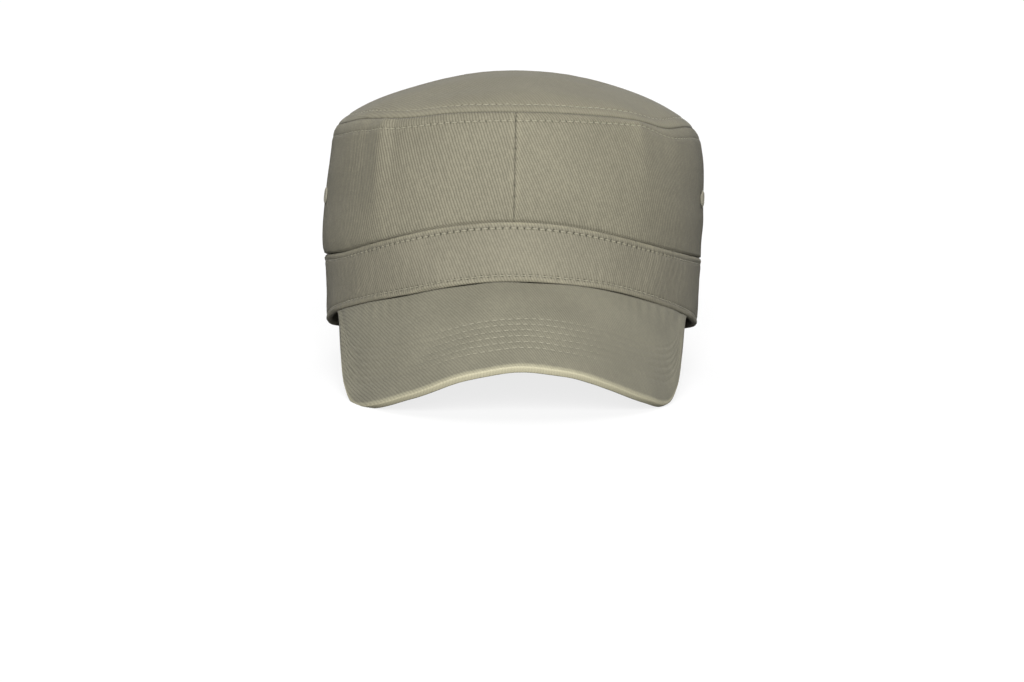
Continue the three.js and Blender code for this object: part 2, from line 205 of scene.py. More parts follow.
def smooth(rows, column, at, place="up"):
    """A smooth curve through one column of a table, read at the place column."""
    x = np.array([row[place] for row in rows], float)
    y = np.array([row[column] for row in rows], float)
    last = len(x) - 1
    before = np.maximum(np.arange(last + 1) - 1, 0)
    after = np.minimum(np.arange(last + 1) + 1, last)
    slope = (y[after] - y[before]) / (x[after] - x[before])
    at = np.asarray(at, float)
    k = np.searchsorted(x[1:-1], at)
    step = x[k + 1] - x[k]
    t = (at - x[k]) / step
    ease = t * t * (3 - 2 * t)
    leave = t * (1 - t) ** 2 * step * slope[k]
    arrive = t * t * (1 - t) * step * slope[k + 1]
    return y[k] * (1 - ease) + y[k + 1] * ease + leave - arrive


def line_height(name, along):
    """Height of a sewn line, where along is -1 at the brow, 0 at the side and 1 at the nape."""
    line = SEWN_LINES[name]
    front = BROW_ARCH * (line["arch"] * np.maximum(-along, 0) ** ARCH_POWER - line["tilt"] * along)
    back = -NAPE_DROP * (line["nape_tilt"] * along + line["nape_curve"] * along**2)
    return line["height"] + np.where(along < 0, front, back)


def bump_at(distance, width):
    """A smooth bump of height 1 round distance 0."""
    return np.exp(-((distance / width) ** 2))


def settled(name, angle):
    """How far a sewn line has settled up or down at an angle."""
    return sum(height * bump_at(np.degrees(angle) - place, width) for place, width, height in SETTLED[name])


def wall_point(outlines, low, high, angle, up):
    """A point between two sewn lines, at an angle from the brow, with the cap upright as worn."""
    angle, up = np.broadcast_arrays(np.asarray(angle, float), np.asarray(up, float))
    power = 2 / smooth(outlines, "square", up)
    sine = np.sin(angle)
    cosine = np.cos(angle)
    along = -np.sign(cosine) * np.abs(cosine) ** power
    x = smooth(outlines, "side", up) * OUTER_HALF_WIDTH * np.sign(sine) * np.abs(sine) ** power
    brow = smooth(outlines, "brow", up) * OUTER_TO_BROW
    nape = smooth(outlines, "nape", up) * OUTER_TO_NAPE
    bottom = line_height(low, along) + settled(low, angle)
    top = line_height(high, along) + settled(high, angle)
    return np.stack([x, along * np.where(along < 0, brow, nape), bottom + up * (top - bottom)], -1)


def band_point(angle, up):
    """A point of the band's outer face."""
    return wall_point(BAND_OUTLINES, "band_bottom", "band_top", angle, up)


def crown_point(angle, up):
    """A point of the crown's sides, fuller low down on the left and high up on the right."""
    point = wall_point(CROWN_OUTLINES, "band_top", "top_seam", angle, up)
    angle, up = np.broadcast_arrays(np.asarray(angle, float), np.asarray(up, float))
    fuller = np.where(angle < 0, smooth(CROWN_FULLER, "left", up), smooth(CROWN_FULLER, "right", up))
    point[..., 0] += np.sign(angle) * fuller * MM * bump_at(np.degrees(np.abs(angle)) - 90, FULLER_REACH)
    return point


def height_of(wall, angle):
    """How tall a wall of cloth is at an angle, from its lower sewn line to its upper one."""
    return (wall(angle, 1) - wall(angle, 0))[..., 2]


def unit(vectors):
    return vectors / np.linalg.norm(vectors, axis=-1, keepdims=True)


def normal_of(surface, u, v, step=1e-3):
    """The unit normal of a surface whose two parameters run so that it points out."""
    across = surface(u + step, v) - surface(u - step, v)
    upward = surface(u, v + step) - surface(u, v - step)
    return unit(np.cross(across, upward))


# The cap lies leaning back on its peak and nape, where the frame has it
lean_matrix = np.array(Matrix.Rotation(-LEAN_BACK, 3, "X"))
crown_sample = crown_point(np.linspace(0, math.pi, 181)[:, None], np.linspace(0.015, 1, 60)) @ lean_matrix.T
crown_corner = np.array(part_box("side_panel_right")[1])
rest_shift = np.array([0, *(crown_corner - crown_sample.reshape(-1, 3).max(0))[1:]])


def lay_down(points):
    """From the worn position to the table, where cloth that would reach lower is pressed flat."""
    laid = points @ lean_matrix.T + rest_shift
    laid[..., 0] += ASKEW * (laid[..., 2] - ASKEW_ABOUT)
    laid[..., 2] = np.maximum(laid[..., 2], 0)
    return laid


def line_length(points):
    """Length along a line of points, from 0 at its start."""
    steps = np.linalg.norm(np.diff(points, axis=0), axis=1)
    return np.concatenate([[0], np.cumsum(steps)])


def points_at(at, length, line):
    """Points at some lengths along a line of points."""
    return np.stack([np.interp(at, length, line[:, k]) for k in range(3)], -1)


def soft_noise(u, v, u_wave, v_wave, seed, waves=7):
    """Slow smooth unevenness of about -1 to 1, in waves of these two lengths in mm."""
    draw = np.random.default_rng(seed)
    u = u / (u_wave * MM)
    v = v / (v_wave * MM)
    total = 0
    for _ in range(waves):
        turn = draw.uniform(0, 2 * math.pi)
        pace = draw.uniform(0.6, 1.7)
        phase = draw.uniform(0, 2 * math.pi)
        total = total + np.sin(2 * math.pi * pace * (u * math.cos(turn) + v * math.sin(turn)) + phase)
    return total / math.sqrt(waves) * 0.75


def needle(phase):
    """1 where the needle went in, at every whole number, and 0 between."""
    return np.maximum(np.cos(2 * math.pi * phase), 0) ** 5


def traces(rows, distances):
    """Bumps that follow edges, seams and stitch rows. A row says what it follows, how far from it in mm,
    how wide it is in mm, and how much there is of it at its middle."""
    return sum(much * bump_at(distances[line] - away * MM, wide * MM) for line, away, wide, much in rows)


def over_loop(mask, before, count, mode="constant"):
    """A mask of the outer face, spread over a whole loop of points."""
    return np.pad(mask, [(0, 0), (before, count - before - mask.shape[1])], mode=mode)


def wall_uv(u, loops):
    """Cloth coordinates of loops of points, where u is given and v is measured along the first loop."""
    v = line_length(np.vstack([loops[0], loops[0][:1]]))
    return np.stack(np.broadcast_arrays(u[:, None], v[None, :]), -1)


def dressed_mesh(name, points, faces, face_uv, masks):
    """A smooth piece of cloth with its cloth coordinates, its painted shade in needle holes and seams, and
    its rubbed places, with painted light along the peak's rim.
    """
    mesh = bpy.data.meshes.new(name)
    mesh.from_pydata(points.tolist(), [], faces)
    mesh.uv_layers.new(name="cloth").data.foreach_set("uv", face_uv.astype(np.float32).ravel())
    for mask in ("pit_shade", "rub_and_light"):
        values = masks[mask].astype(np.float32).ravel()
        mesh.attributes.new(mask, "FLOAT", "POINT").data.foreach_set("value", values)
    mesh.shade_smooth()
    return add_object(name, mesh)


def cloth_mesh(name, loops, uv, ring, masks):
    """A closed mesh from loops of points. uv has one more loop and point than loops, for the joins.
    A ring joins its last loop to its first, and other pieces get two end faces."""
    stations, count, _ = loops.shape
    index = np.arange(stations * count).reshape(stations, count)
    if ring:
        index = np.vstack([index, index[:1]])
    index = np.hstack([index, index[:, :1]])
    quads = np.stack([index[:-1, :-1], index[1:, :-1], index[1:, 1:], index[:-1, 1:]], -1).reshape(-1, 4)
    uv = uv[: len(index)]
    quad_uv = np.stack([uv[:-1, :-1], uv[1:, :-1], uv[1:, 1:], uv[:-1, 1:]], -2).reshape(-1, 4, 2)
    faces = quads.tolist()
    face_uv = quad_uv.reshape(-1, 2)
    if not ring:
        for station, turned in ((0, False), (stations - 1, True)):
            end = bridge(index[station, :-1].tolist(), masks["outer_points"], turned)
            faces += end
            flat = [corner for face in end for corner in face]
            face_uv = np.vstack([face_uv, uv[station, [c - station * count for c in flat]]])
    return dressed_mesh(name, loops.reshape(-1, 3), faces, face_uv, masks)


def bridge(loop, outer_points, turned):
    """Triangles between the two sides of an open wall's end: its outer points and its inner ones."""
    outer = loop[:outer_points]
    inner = loop[outer_points:][::-1]
    i = j = 0
    triangles = []
    while i < len(outer) - 1 or j < len(inner) - 1:
        outer_next = (i + 1) / (len(outer) - 1)
        inner_next = (j + 1) / (len(inner) - 1)
        if j == len(inner) - 1 or (i < len(outer) - 1 and outer_next <= inner_next):
            triangle = [outer[i], outer[i + 1], inner[j]]
            i += 1
        else:
            triangle = [outer[i], inner[j + 1], inner[j]]
            j += 1
        triangles.append(triangle[::-1] if turned else triangle)
    return triangles


def stitches(name, rows, pitch, seed):
    """Rows of lockstitch. A row is a line of points, their normals and how far its thread stands up."""
    draw = np.random.default_rng(seed)
    sides = 6
    rings = 7
    along = np.linspace(0, 1, rings)
    arch = np.sin(math.pi * along)
    turn = np.linspace(0, 2 * math.pi, sides, endpoint=False)
    points = []
    for line, normal, stand in rows:
        length = line_length(line)
        count = int(round(length[-1] / pitch))
        for i in range(count):
            fill = draw.uniform(0.8, 0.9)
            middle = (i + 0.5 + draw.uniform(-0.03, 0.03)) * length[-1] / count
            at = middle + (along - 0.5) * fill * length[-1] / count
            centre = points_at(at, length, line)
            out = unit(points_at(at, length, normal))
            rise = np.interp(middle, length, stand) * draw.uniform(0.85, 1.15)
            way = unit(np.gradient(centre, axis=0))
            side = unit(np.cross(out, way))
            slew = draw.uniform(-0.12, 0.12) * THREAD_RADIUS * np.sin(2 * math.pi * along)
            centre = centre + out * (rise * arch**0.6 - 0.9 * THREAD_RADIUS)[:, None] + side * slew[:, None]
            width = THREAD_RADIUS * (0.35 + 0.65 * arch**0.5)
            around = np.cos(turn)[:, None] * side[:, None] + np.sin(turn)[:, None] * out[:, None]
            points.append(centre[:, None] + around * width[:, None, None])
    points = lay_down(np.array(points))
    total = len(points)
    index = np.arange(total * rings * sides).reshape(total, rings, sides)
    index = np.concatenate([index, index[..., :1]], -1)
    quads = np.stack([index[:, :-1, :-1], index[:, :-1, 1:], index[:, 1:, 1:], index[:, 1:, :-1]], -1)
    faces = quads.reshape(-1, 4).tolist()
    faces += index[:, 0, -2::-1].tolist() + index[:, -1, :-1].tolist()
    mesh = bpy.data.meshes.new(name)
    mesh.from_pydata(points.reshape(-1, 3).tolist(), [], faces)
    mesh.shade_smooth()
    return add_object(name, mesh)


def calculator(tree):
    """A maker of math nodes in one tree. It takes sockets or numbers and gives the result's socket."""
    def calculate(operation, *values):
        node = tree.nodes.new("ShaderNodeMath")
        node.operation = operation
        for socket, value in zip(node.inputs, values):
            if isinstance(value, bpy.types.NodeSocket):
                tree.links.new(value, socket)
            else:
                socket.default_value = value
        return node.outputs[0]
    return calculate


def noise_node(tree, place, scale, detail):
    """Smooth noise over a place, as its socket."""
    noise = tree.nodes.new("ShaderNodeTexNoise")
    set_inputs(noise, {"Scale": scale, "Detail": detail})
    tree.links.new(place, noise.inputs["Vector"])
    return noise.outputs[0]


def twill_weave_group():
    """Twill: slanted ribs of warp yarn, each a chain of short floats, over cloth coordinates in metres.
    It puts out the weave's height, how deep in a valley a point is, and a slow tone of the yarns."""
    tree = bpy.data.node_groups.new("twill_weave", "ShaderNodeTree")
    sockets = tree.interface
    sockets.new_socket("Cloth", in_out="INPUT", socket_type="NodeSocketVector")
    for name in ("Slant", "Rib Width", "Float Length", "Unevenness"):
        sockets.new_socket(name, in_out="INPUT", socket_type="NodeSocketFloat")
    for name in ("Height", "Valley", "Yarn Tone", "Speck"):
        sockets.new_socket(name, in_out="OUTPUT", socket_type="NodeSocketFloat")
    given = tree.nodes.new("NodeGroupInput").outputs
    put_out = tree.nodes.new("NodeGroupOutput").inputs
    calc = calculator(tree)

    split = tree.nodes.new("ShaderNodeSeparateXYZ")
    tree.links.new(given["Cloth"], split.inputs[0])
    u, v = split.outputs[0], split.outputs[1]
    sine = calc("SINE", given["Slant"])
    cosine = calc("COSINE", given["Slant"])
    across = calc("SUBTRACT", calc("MULTIPLY", u, sine), calc("MULTIPLY", v, cosine))
    along = calc("ADD", calc("MULTIPLY", u, cosine), calc("MULTIPLY", v, sine))

    waver = noise_node(tree, given["Cloth"], 260, 2)
    shake = calc("MULTIPLY", calc("SUBTRACT", waver, 0.5), given["Unevenness"])
    rib = calc("ADD", calc("DIVIDE", across, given["Rib Width"]), shake)
    rib_number = calc("FLOOR", rib)
    in_rib = calc("SINE", calc("MULTIPLY", calc("FRACT", rib), math.pi))
    ridge = calc("POWER", calc("MAXIMUM", in_rib, 0.0), 0.7)

    start = tree.nodes.new("ShaderNodeTexWhiteNoise")
    start.noise_dimensions = "1D"
    tree.links.new(rib_number, start.inputs["W"])
    step = start.outputs["Value"]
    strand = calc("ADD", calc("DIVIDE", along, given["Float Length"]), step)
    in_float = calc("SINE", calc("MULTIPLY", calc("FRACT", strand), math.pi))
    bead = calc("POWER", calc("MAXIMUM", in_float, 0.0), 0.5)
    height = calc("MULTIPLY", ridge, calc("MULTIPLY_ADD", bead, 0.25, 0.75))
    tree.links.new(height, put_out["Height"])
    tree.links.new(calc("SUBTRACT", 1.0, height), put_out["Valley"])

    yarn = tree.nodes.new("ShaderNodeCombineXYZ")
    tree.links.new(calc("MULTIPLY", rib_number, 2.7), yarn.inputs[0])
    tree.links.new(calc("MULTIPLY", along, 110.0), yarn.inputs[1])
    tree.links.new(noise_node(tree, yarn.outputs[0], 1, 3), put_out["Yarn Tone"])

    one_float = tree.nodes.new("ShaderNodeCombineXYZ")
    tree.links.new(rib_number, one_float.inputs[0])
    tree.links.new(calc("FLOOR", strand), one_float.inputs[1])
    draw = tree.nodes.new("ShaderNodeTexWhiteNoise")
    tree.links.new(one_float.outputs[0], draw.inputs["Vector"])
    tree.links.new(draw.outputs["Value"], put_out["Speck"])
    return tree


def cotton_and_shade_group():
    """Dyed cotton after many washes, with slow cloudy patches. It is paler where it rubs and where painted
    light is laid on, and painted shade darkens the weave's valleys, needle holes and seams. It puts out the
    colour and the roughness."""
    tree = bpy.data.node_groups.new("cotton_and_shade", "ShaderNodeTree")
    sockets = tree.interface
    for name in ("Dye", "Shade", "Rubbed And Lit"):
        sockets.new_socket(name, in_out="INPUT", socket_type="NodeSocketColor")
    sockets.new_socket("Cloth", in_out="INPUT", socket_type="NodeSocketVector")
    for name in ("Valley", "Yarn Tone", "Speck", "Pit Shade", "Rub And Light", "Weave Contrast"):
        sockets.new_socket(name, in_out="INPUT", socket_type="NodeSocketFloat")
    sockets.new_socket("Color", in_out="OUTPUT", socket_type="NodeSocketColor")
    sockets.new_socket("Roughness", in_out="OUTPUT", socket_type="NodeSocketFloat")
    given = tree.nodes.new("NodeGroupInput").outputs
    put_out = tree.nodes.new("NodeGroupOutput").inputs
    calc = calculator(tree)

    def mix(factor, a, b):
        node = tree.nodes.new("ShaderNodeMix")
        node.data_type = "RGBA"
        tree.links.new(factor, node.inputs["Factor"])
        tree.links.new(a, node.inputs[6])
        tree.links.new(b, node.inputs[7])
        return node.outputs[2]

    cloud = noise_node(tree, given["Cloth"], 28, 1)
    slub = calc("MULTIPLY", calc("SUBTRACT", given["Yarn Tone"], 0.5), 0.2)
    patch = calc("MULTIPLY", calc("SUBTRACT", cloud, 0.5), 0.25)
    fleck = calc("MULTIPLY", calc("SUBTRACT", given["Speck"], 0.5), given["Weave Contrast"])
    tone = calc("ADD", calc("ADD", slub, patch), calc("MULTIPLY", fleck, 0.22))
    # Painted shade: the weave's valleys, needle holes and seams are darkened towards the shade colour.
    valley = calc("MULTIPLY", given["Valley"], given["Weave Contrast"])
    darkness = calc("SUBTRACT", calc("ADD", valley, given["Pit Shade"]), tone)
    smoother = calc("SUBTRACT", 1.0, calc("MULTIPLY", given["Rub And Light"], 0.75))
    darkness = calc("MULTIPLY", darkness, smoother)
    dark = calc("MINIMUM", calc("MAXIMUM", darkness, 0.0), 1.0)
    # Paler where rubbed; on the peak's rim this also lays on painted light.
    worn_and_lit = calc("ADD", given["Rub And Light"], calc("MULTIPLY", tone, 0.6))
    pale = calc("MINIMUM", calc("MAXIMUM", worn_and_lit, 0.0), 1.0)
    tree.links.new(mix(dark, mix(pale, given["Dye"], given["Rubbed And Lit"]), given["Shade"]), put_out["Color"])
    tree.links.new(calc("MULTIPLY_ADD", given["Valley"], 0.12, 0.82), put_out["Roughness"])
    return tree


twill_weave = twill_weave_group()
cotton_and_shade = cotton_and_shade_group()
RIB_WIDTH = 1.24 * MM
FLOAT_LENGTH = 1.1 * MM


def srgb(red, green, blue):
    """A colour from its 0 to 255 values, as a linear one."""
    shares = [value / 255 for value in (red, green, blue)]
    return (*[s / 12.92 if s <= 0.04045 else ((s + 0.055) / 1.055) ** 2.4 for s in shares], 1)


def twill_material(name, dye, deep, rubbed_and_lit, slant, contrast, depth):
    """Cotton twill whose ribs run at a slant, from cloth coordinates in metres."""
    material, tree, shader = new_material(name)
    set_inputs(shader, {"Sheen Weight": 0.03, "Sheen Roughness": 0.4, "Specular IOR Level": 0.25})
    cloth = tree.nodes.new("ShaderNodeUVMap")
    cloth.uv_map = "cloth"
    weave = tree.nodes.new("ShaderNodeGroup")
    weave.node_tree = twill_weave
    set_inputs(weave, {"Slant": math.radians(slant), "Rib Width": RIB_WIDTH})
    set_inputs(weave, {"Float Length": FLOAT_LENGTH, "Unevenness": 0.5})
    tree.links.new(cloth.outputs[0], weave.inputs["Cloth"])
    cotton = tree.nodes.new("ShaderNodeGroup")
    cotton.node_tree = cotton_and_shade
    # The deep colour is the painted shade in valleys, needle holes and seams; the rubbed colour also carries
    # painted light on the peak's rim.
    set_inputs(cotton, {"Dye": dye, "Shade": deep, "Rubbed And Lit": rubbed_and_lit, "Weave Contrast": contrast})
    tree.links.new(cloth.outputs[0], cotton.inputs["Cloth"])
    for socket in ("Valley", "Yarn Tone", "Speck"):
        tree.links.new(weave.outputs[socket], cotton.inputs[socket])
    for mask, socket in (("pit_shade", "Pit Shade"), ("rub_and_light", "Rub And Light")):
        stored = tree.nodes.new("ShaderNodeAttribute")
        stored.attribute_name = mask
        tree.links.new(stored.outputs["Fac"], cotton.inputs[socket])
    bump = tree.nodes.new("ShaderNodeBump")
    set_inputs(bump, {"Strength": 1, "Distance": depth})
    tree.links.new(weave.outputs["Height"], bump.inputs["Height"])
    tree.links.new(bump.outputs[0], shader.inputs["Normal"])
    tree.links.new(cotton.outputs["Color"], shader.inputs["Base Color"])
    tree.links.new(cotton.outputs["Roughness"], shader.inputs["Roughness"])
    return material


def thread_material(name, color):
    """Spun polyester sewing thread, a little shinier than the cloth, with a fine twist."""
    material, tree, shader = new_material(name)
    set_inputs(shader, {"Roughness": 0.6, "Sheen Weight": 0.15})
    place = tree.nodes.new("ShaderNodeTexCoord")
    fibres = noise_node(tree, place.outputs["Object"], 2600, 2)
    tones = tree.nodes.new("ShaderNodeValToRGB")
    tones.color_ramp.elements[0].position = 0.3
    tones.color_ramp.elements[0].color = tuple(0.72 * c for c in color[:3]) + (1,)
    tones.color_ramp.elements[1].position = 0.7
    tones.color_ramp.elements[1].color = color
    tree.links.new(fibres, tones.inputs[0])
    tree.links.new(tones.outputs[0], shader.inputs["Base Color"])
    bump = tree.nodes.new("ShaderNodeBump")
    set_inputs(bump, {"Distance": 0.04 * MM})
    tree.links.new(fibres, bump.inputs["Height"])
    tree.links.new(bump.outputs[0], shader.inputs["Normal"])
    return material


OLIVE = srgb(119, 115, 99)
# The colour of painted shade in the weave's valleys, needle holes and seams.
OLIVE_SHADE = srgb(58, 56, 46)
OLIVE_RUBBED = srgb(146, 141, 118)
OLIVE_THREAD = srgb(142, 138, 117)

BAND_OLIVE = srgb(116, 112, 97)
# What each bump follows, how far from it and how wide in mm, and how much
BAND_RUB = [("bottom", 0.9, 0.8, 0.2), ("top", 0.6, 0.6, 0.45)]
BAND_HOLE_WIDE = 0.45 * MM
BAND_HOLE_DEEP = 0.42 * MM
BAND_HOLE_SHADE = 1.2
BAND_ROW_WIDE = 0.6 * MM
BAND_ROW_DEEP = 0.3 * MM
BAND_LIP_WIDE = 0.9 * MM
BAND_LIP_HIGH = 0.1 * MM
BAND_PULL_WIDE = 1.6 * MM
BAND_PULL_DEEP = 0.06 * MM
BAND_SEAM_WIDE = 0.5 * MM
BAND_SEAM_DEEP = 0.5 * MM
BAND_ROLL_WIDE = 0.7 * MM
BAND_ROLL_DEEP = 0.5 * MM
BAND_WAVE_HIGH = 0.28 * MM
BAND_RIPPLE_HIGH = 0.07 * MM
# Where its rows of points lie, up from its lower edge and down from its upper one
BAND_LEVELS_LOW = np.array([0.85, 1.4, 1.9, 2.2, 2.4, 2.6, 2.8, 3.0, 3.4, 4.4, 5.8]) * MM
BAND_LEVELS_HIGH = np.array([5.2, 4.2, 3.7, 3.2, 2.95, 2.7, 2.45, 2.2, 1.7, 1.2, 0.9]) * MM
BAND_TOP_FOLD = 0.9 * MM
BAND_INNER_EDGE = 1.7 * MM

band_thread = thread_material("band_thread", OLIVE_THREAD)
band_twill = twill_material("band_twill", BAND_OLIVE, OLIVE_SHADE, OLIVE_RUBBED, -70, 0.48, 0.17 * MM)

fine_angles = np.linspace(-math.pi, math.pi, 2881)
band_round = line_length(band_point(fine_angles, 0.5))
band_stitch_count = int(round(band_round[-1] / BAND_STITCH))
band_columns = band_stitch_count * COLUMNS_PER_STITCH
band_u = np.linspace(0, band_round[-1], band_columns + 1)
band_angles = np.interp(band_u, band_round, fine_angles)


def band_outside(angle, up, run):
    """The band's outer face with its folds, stitch lines and unevenness, and its two masks."""
    tall = height_of(band_point, angle)
    from_bottom = up * tall
    from_top = (1 - up) * tall
    phase = run / band_round[-1] * band_stitch_count
    beat = np.cos(2 * math.pi * phase)
    depth = 0
    pit_shade = 0
    for distance, row in ((from_bottom, BAND_ROW_UP), (from_top, BAND_ROW_DOWN)):
        hole = needle(phase) * bump_at(distance - row, BAND_HOLE_WIDE)
        depth = depth - BAND_ROW_DEEP * bump_at(distance - row, BAND_ROW_WIDE) * (0.8 - 0.2 * beat)
        depth = depth - BAND_HOLE_DEEP * hole + BAND_LIP_HIGH * bump_at(distance - row / 2, BAND_LIP_WIDE)
        depth = depth - BAND_PULL_DEEP * beat * bump_at(distance - row, BAND_PULL_WIDE)
        # Painted shade in each needle hole.
        pit_shade = pit_shade + BAND_HOLE_SHADE * hole
    join = bump_at(np.minimum(run, band_round[-1] - run), BAND_SEAM_WIDE)
    depth = depth + BAND_WAVE_HIGH * soft_noise(run, from_bottom, 30, 20, 3)
    depth = depth + BAND_RIPPLE_HIGH * soft_noise(run, from_bottom, 6, 14, 4)
    depth = depth - BAND_SEAM_DEEP * join - BAND_ROLL_DEEP * bump_at(from_top, BAND_ROLL_WIDE)
    rub_and_light = traces(BAND_RUB, {"bottom": from_bottom, "top": from_top})
    rub_and_light = rub_and_light * (0.8 + 0.3 * soft_noise(run, from_bottom, 9, 9, 5))
    normal = normal_of(band_point, angle, up)
    # Painted shade also lies in the dip of the nape seam.
    return band_point(angle, up) + normal * depth[..., None], normal, pit_shade + 0.35 * join, rub_and_light


def band_fold(angle, tall, edge, radius, turns, normal):
    """Points round a folded edge of the band, which is its lower edge at 0 and its upper one at 1."""
    parts = []
    for turn in np.radians(turns):
        up = np.abs(edge - radius * (1 - math.cos(turn)) / tall)
        parts.append(band_point(angle, up) - normal * (radius * (1 - math.sin(turn))))
    return np.concatenate(parts, 1)


def make_band():
    """The band as a closed ring of loops, from its lower fold up its face and down its inside."""
    angle = band_angles[:-1, None]
    tall = height_of(band_point, angle)
    low = BAND_LEVELS_LOW / tall
    high = 1 - BAND_LEVELS_HIGH / tall
    up = np.hstack([low, low[:, -1:] + (high[:, :1] - low[:, -1:]) * np.linspace(0, 1, 17)[1:-1], high])
    face, _, pit_shade, rub_and_light = band_outside(angle, up, band_u[:-1, None])
    lower_normal = normal_of(band_point, angle, up[:, :1])
    upper_normal = normal_of(band_point, angle, 1 + 0 * angle)
    lower_fold = band_fold(angle, tall, 0, BAND_FOLD, [0, 25, 50, 72], lower_normal)
    upper_fold = band_fold(angle, tall, 1, BAND_TOP_FOLD, [65, 40, 15], upper_normal)
    inner_up = np.linspace(1, 0, 9) + 0 * angle
    inner_up[:, :1] = 1 - 0.5 * MM / tall
    inner_up[:, -1:] = 0.6 * MM / tall
    inner = band_point(angle, inner_up) - normal_of(band_point, angle, inner_up) * BAND_WALL
    inner_top = band_point(angle, 1 + 0 * angle) - upper_normal * BAND_INNER_EDGE
    inner_bottom = band_point(angle, 0 * angle) - lower_normal * BAND_INNER_EDGE
    loops = np.concatenate([lower_fold, face, upper_fold, inner_top, inner, inner_bottom], 1)
    before, count = lower_fold.shape[1], loops.shape[1]
    masks = {"pit_shade": over_loop(pit_shade, before, count), "rub_and_light": over_loop(rub_and_light, before, count, "edge")}
    piece = cloth_mesh("band_cloth", lay_down(loops), wall_uv(band_u, loops), True, masks)
    piece.data.materials.append(band_twill)
    return piece


band = make_band()
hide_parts("band")
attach(band, "root")

band_rows = []
band_tall = height_of(band_point, band_angles)
solid = np.tile([False] + [True] * (COLUMNS_PER_STITCH - 1), band_stitch_count + 1)[: len(band_angles)]
for row_up in (BAND_ROW_UP / band_tall, 1 - BAND_ROW_DOWN / band_tall):
    line, out, _, _ = band_outside(band_angles, row_up, band_u)
    line = points_at(band_u, band_u[solid], line[solid])
    band_rows.append((line, out, np.full(len(line), THREAD_STANDS)))
band_stitching = stitches("band_stitching", band_rows, BAND_STITCH, 11)
band_stitching.data.materials.append(band_thread)
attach(band_stitching, "root")


# The side panels
# Two shaped panels of the same twill, joined by seams at the brow and the nape and tucked into the band.
# Their upper edge is turned in and topstitched, and slack in the cloth shows as a few soft creases.
CROWN_WALL = 1.3 * MM
CROWN_TUCK = 9 * MM
SEAM_GAP = 0.3 * MM
CROWN_STITCH = 3.1 * MM
# How far below the top seam the stitch row runs, in mm
CROWN_ROW = [
    {"angle": -180, "down": 4.4}, {"angle": -60, "down": 5.8}, {"angle": -30, "down": 4.7},
    {"angle": 0, "down": 4.1}, {"angle": 25, "down": 3.5}, {"angle": 42, "down": 3.3},
    {"angle": 65, "down": 5}, {"angle": 180, "down": 4.4},
]
CROWN_HOLE_WIDE = 0.42 * MM
CROWN_HOLE_DEEP = 0.35 * MM
BROW_STITCH = 2.3 * MM
BROW_DOT = 0.5 * MM
BROW_DOT_DEEP = 0.2 * MM
# Creases: lengths from the brow seam and down from the top seam, in mm. A negative depth is a ridge.
CREASES = [
    {"side": -1, "run": 62.5, "from": 0, "to": 60, "wide": 8, "deep": -2.1, "drift": 2},
    {"side": -1, "run": 56, "from": 1, "to": 46, "wide": 2.6, "deep": 0.8, "drift": 0},
    {"side": -1, "run": 48, "from": 2, "to": 22, "wide": 4, "deep": -0.2, "drift": 2},
    {"side": -1, "run": 73, "from": 2, "to": 46, "wide": 7, "deep": 0.6, "drift": 3},
    {"side": 1, "run": 58, "from": 0, "to": 60, "wide": 9, "deep": -1.3, "drift": 3},
    {"side": 1, "run": 51, "from": 0, "to": 20, "wide": 3, "deep": 0.3, "drift": 1},
    {"side": 1, "run": 71, "from": 0, "to": 26, "wide": 5, "deep": 0.4, "drift": 4},
    {"side": 1, "run": 118, "from": 6, "to": 48, "wide": 11, "deep": 0.6, "drift": 5},
    {"side": -1, "run": 132, "from": 4, "to": 44, "wide": 12, "deep": 0.6, "drift": -4},
    {"side": 1, "run": 196, "from": 0, "to": 40, "wide": 9, "deep": 0.6, "drift": 3},
    {"side": -1, "run": 205, "from": 0, "to": 34, "wide": 8, "deep": 0.5, "drift": 2},
]
CREASE_ROUND = 1.6 * MM
# What each bump follows, how far from it and how wide in mm, and how high in mm
PANEL_RELIEF = [
    ("edge", 0, 0.45, -0.3), ("edge", 1.9, 0.9, 0.06), ("row", 0, 0.6, -0.2), ("row", 2, 1.3, 0.08),
    ("seam", 0, 0.3, -0.32), ("seam", 1.8, 1, 0.08), ("band", 0, 1.5, 0.4),
]
# Painted shade in the dips along the top seam and the brow seam.
PANEL_SEAM_SHADE = [("edge", 0, 0.4, 0.4), ("seam", 0, 0.22, 0.2)]
PANEL_RUB = [("edge", 1.5, 0.8, 0.15), ("seam", 1.6, 0.8, 0.15)]
PUCKER_HIGH = 0.24 * MM
BAND_PUCKER_HIGH = 0.16 * MM
SLACK_HIGH = 0.5 * MM
# Where its rows of points lie: up from the stitch row, down from the edge, and then as shares of its height
LEVELS_AT_ROW = np.array([4.5, 3.1, 1.9, 1.1, 0.6, 0.3, 0, -0.3, -0.6, -1.1]) * MM
LEVELS_AT_EDGE = np.array([1.4, 1.0, 0.65, 0.35, 0.12]) * MM
LEVELS_AT_BAND = [0.015, 0.028, 0.045, 0.065, 0.09]
LEVELS_INSIDE = [0.97, 0.9, 0.8, 0.7, 0.58, 0.45, 0.32, 0.2, 0.12, 0.06]
RIGHT_CLOTH_SCALE = 1.12

half_angles = np.linspace(0, math.pi, 1441)
crown_run = line_length(crown_point(half_angles, 0.97))
crown_long = crown_run[-1]
crown_stitch_count = int(round(crown_long / CROWN_STITCH))
crown_pitch = crown_long / crown_stitch_count
seam_columns = np.array([0.01, 0.22, 0.45, 0.8, 1.2, 1.8, 2.5]) * MM
crown_columns = np.arange(4, crown_stitch_count * 4 - 3) * crown_pitch / 4
panel_run = np.concatenate([seam_columns, crown_columns, crown_long - seam_columns[::-1]])
panel_angles = np.interp(panel_run, crown_run, half_angles)


def crown_row_down(angle):
    """How far below the top seam the stitch row runs."""
    return smooth(CROWN_ROW, "down", np.degrees(angle), "angle") * MM


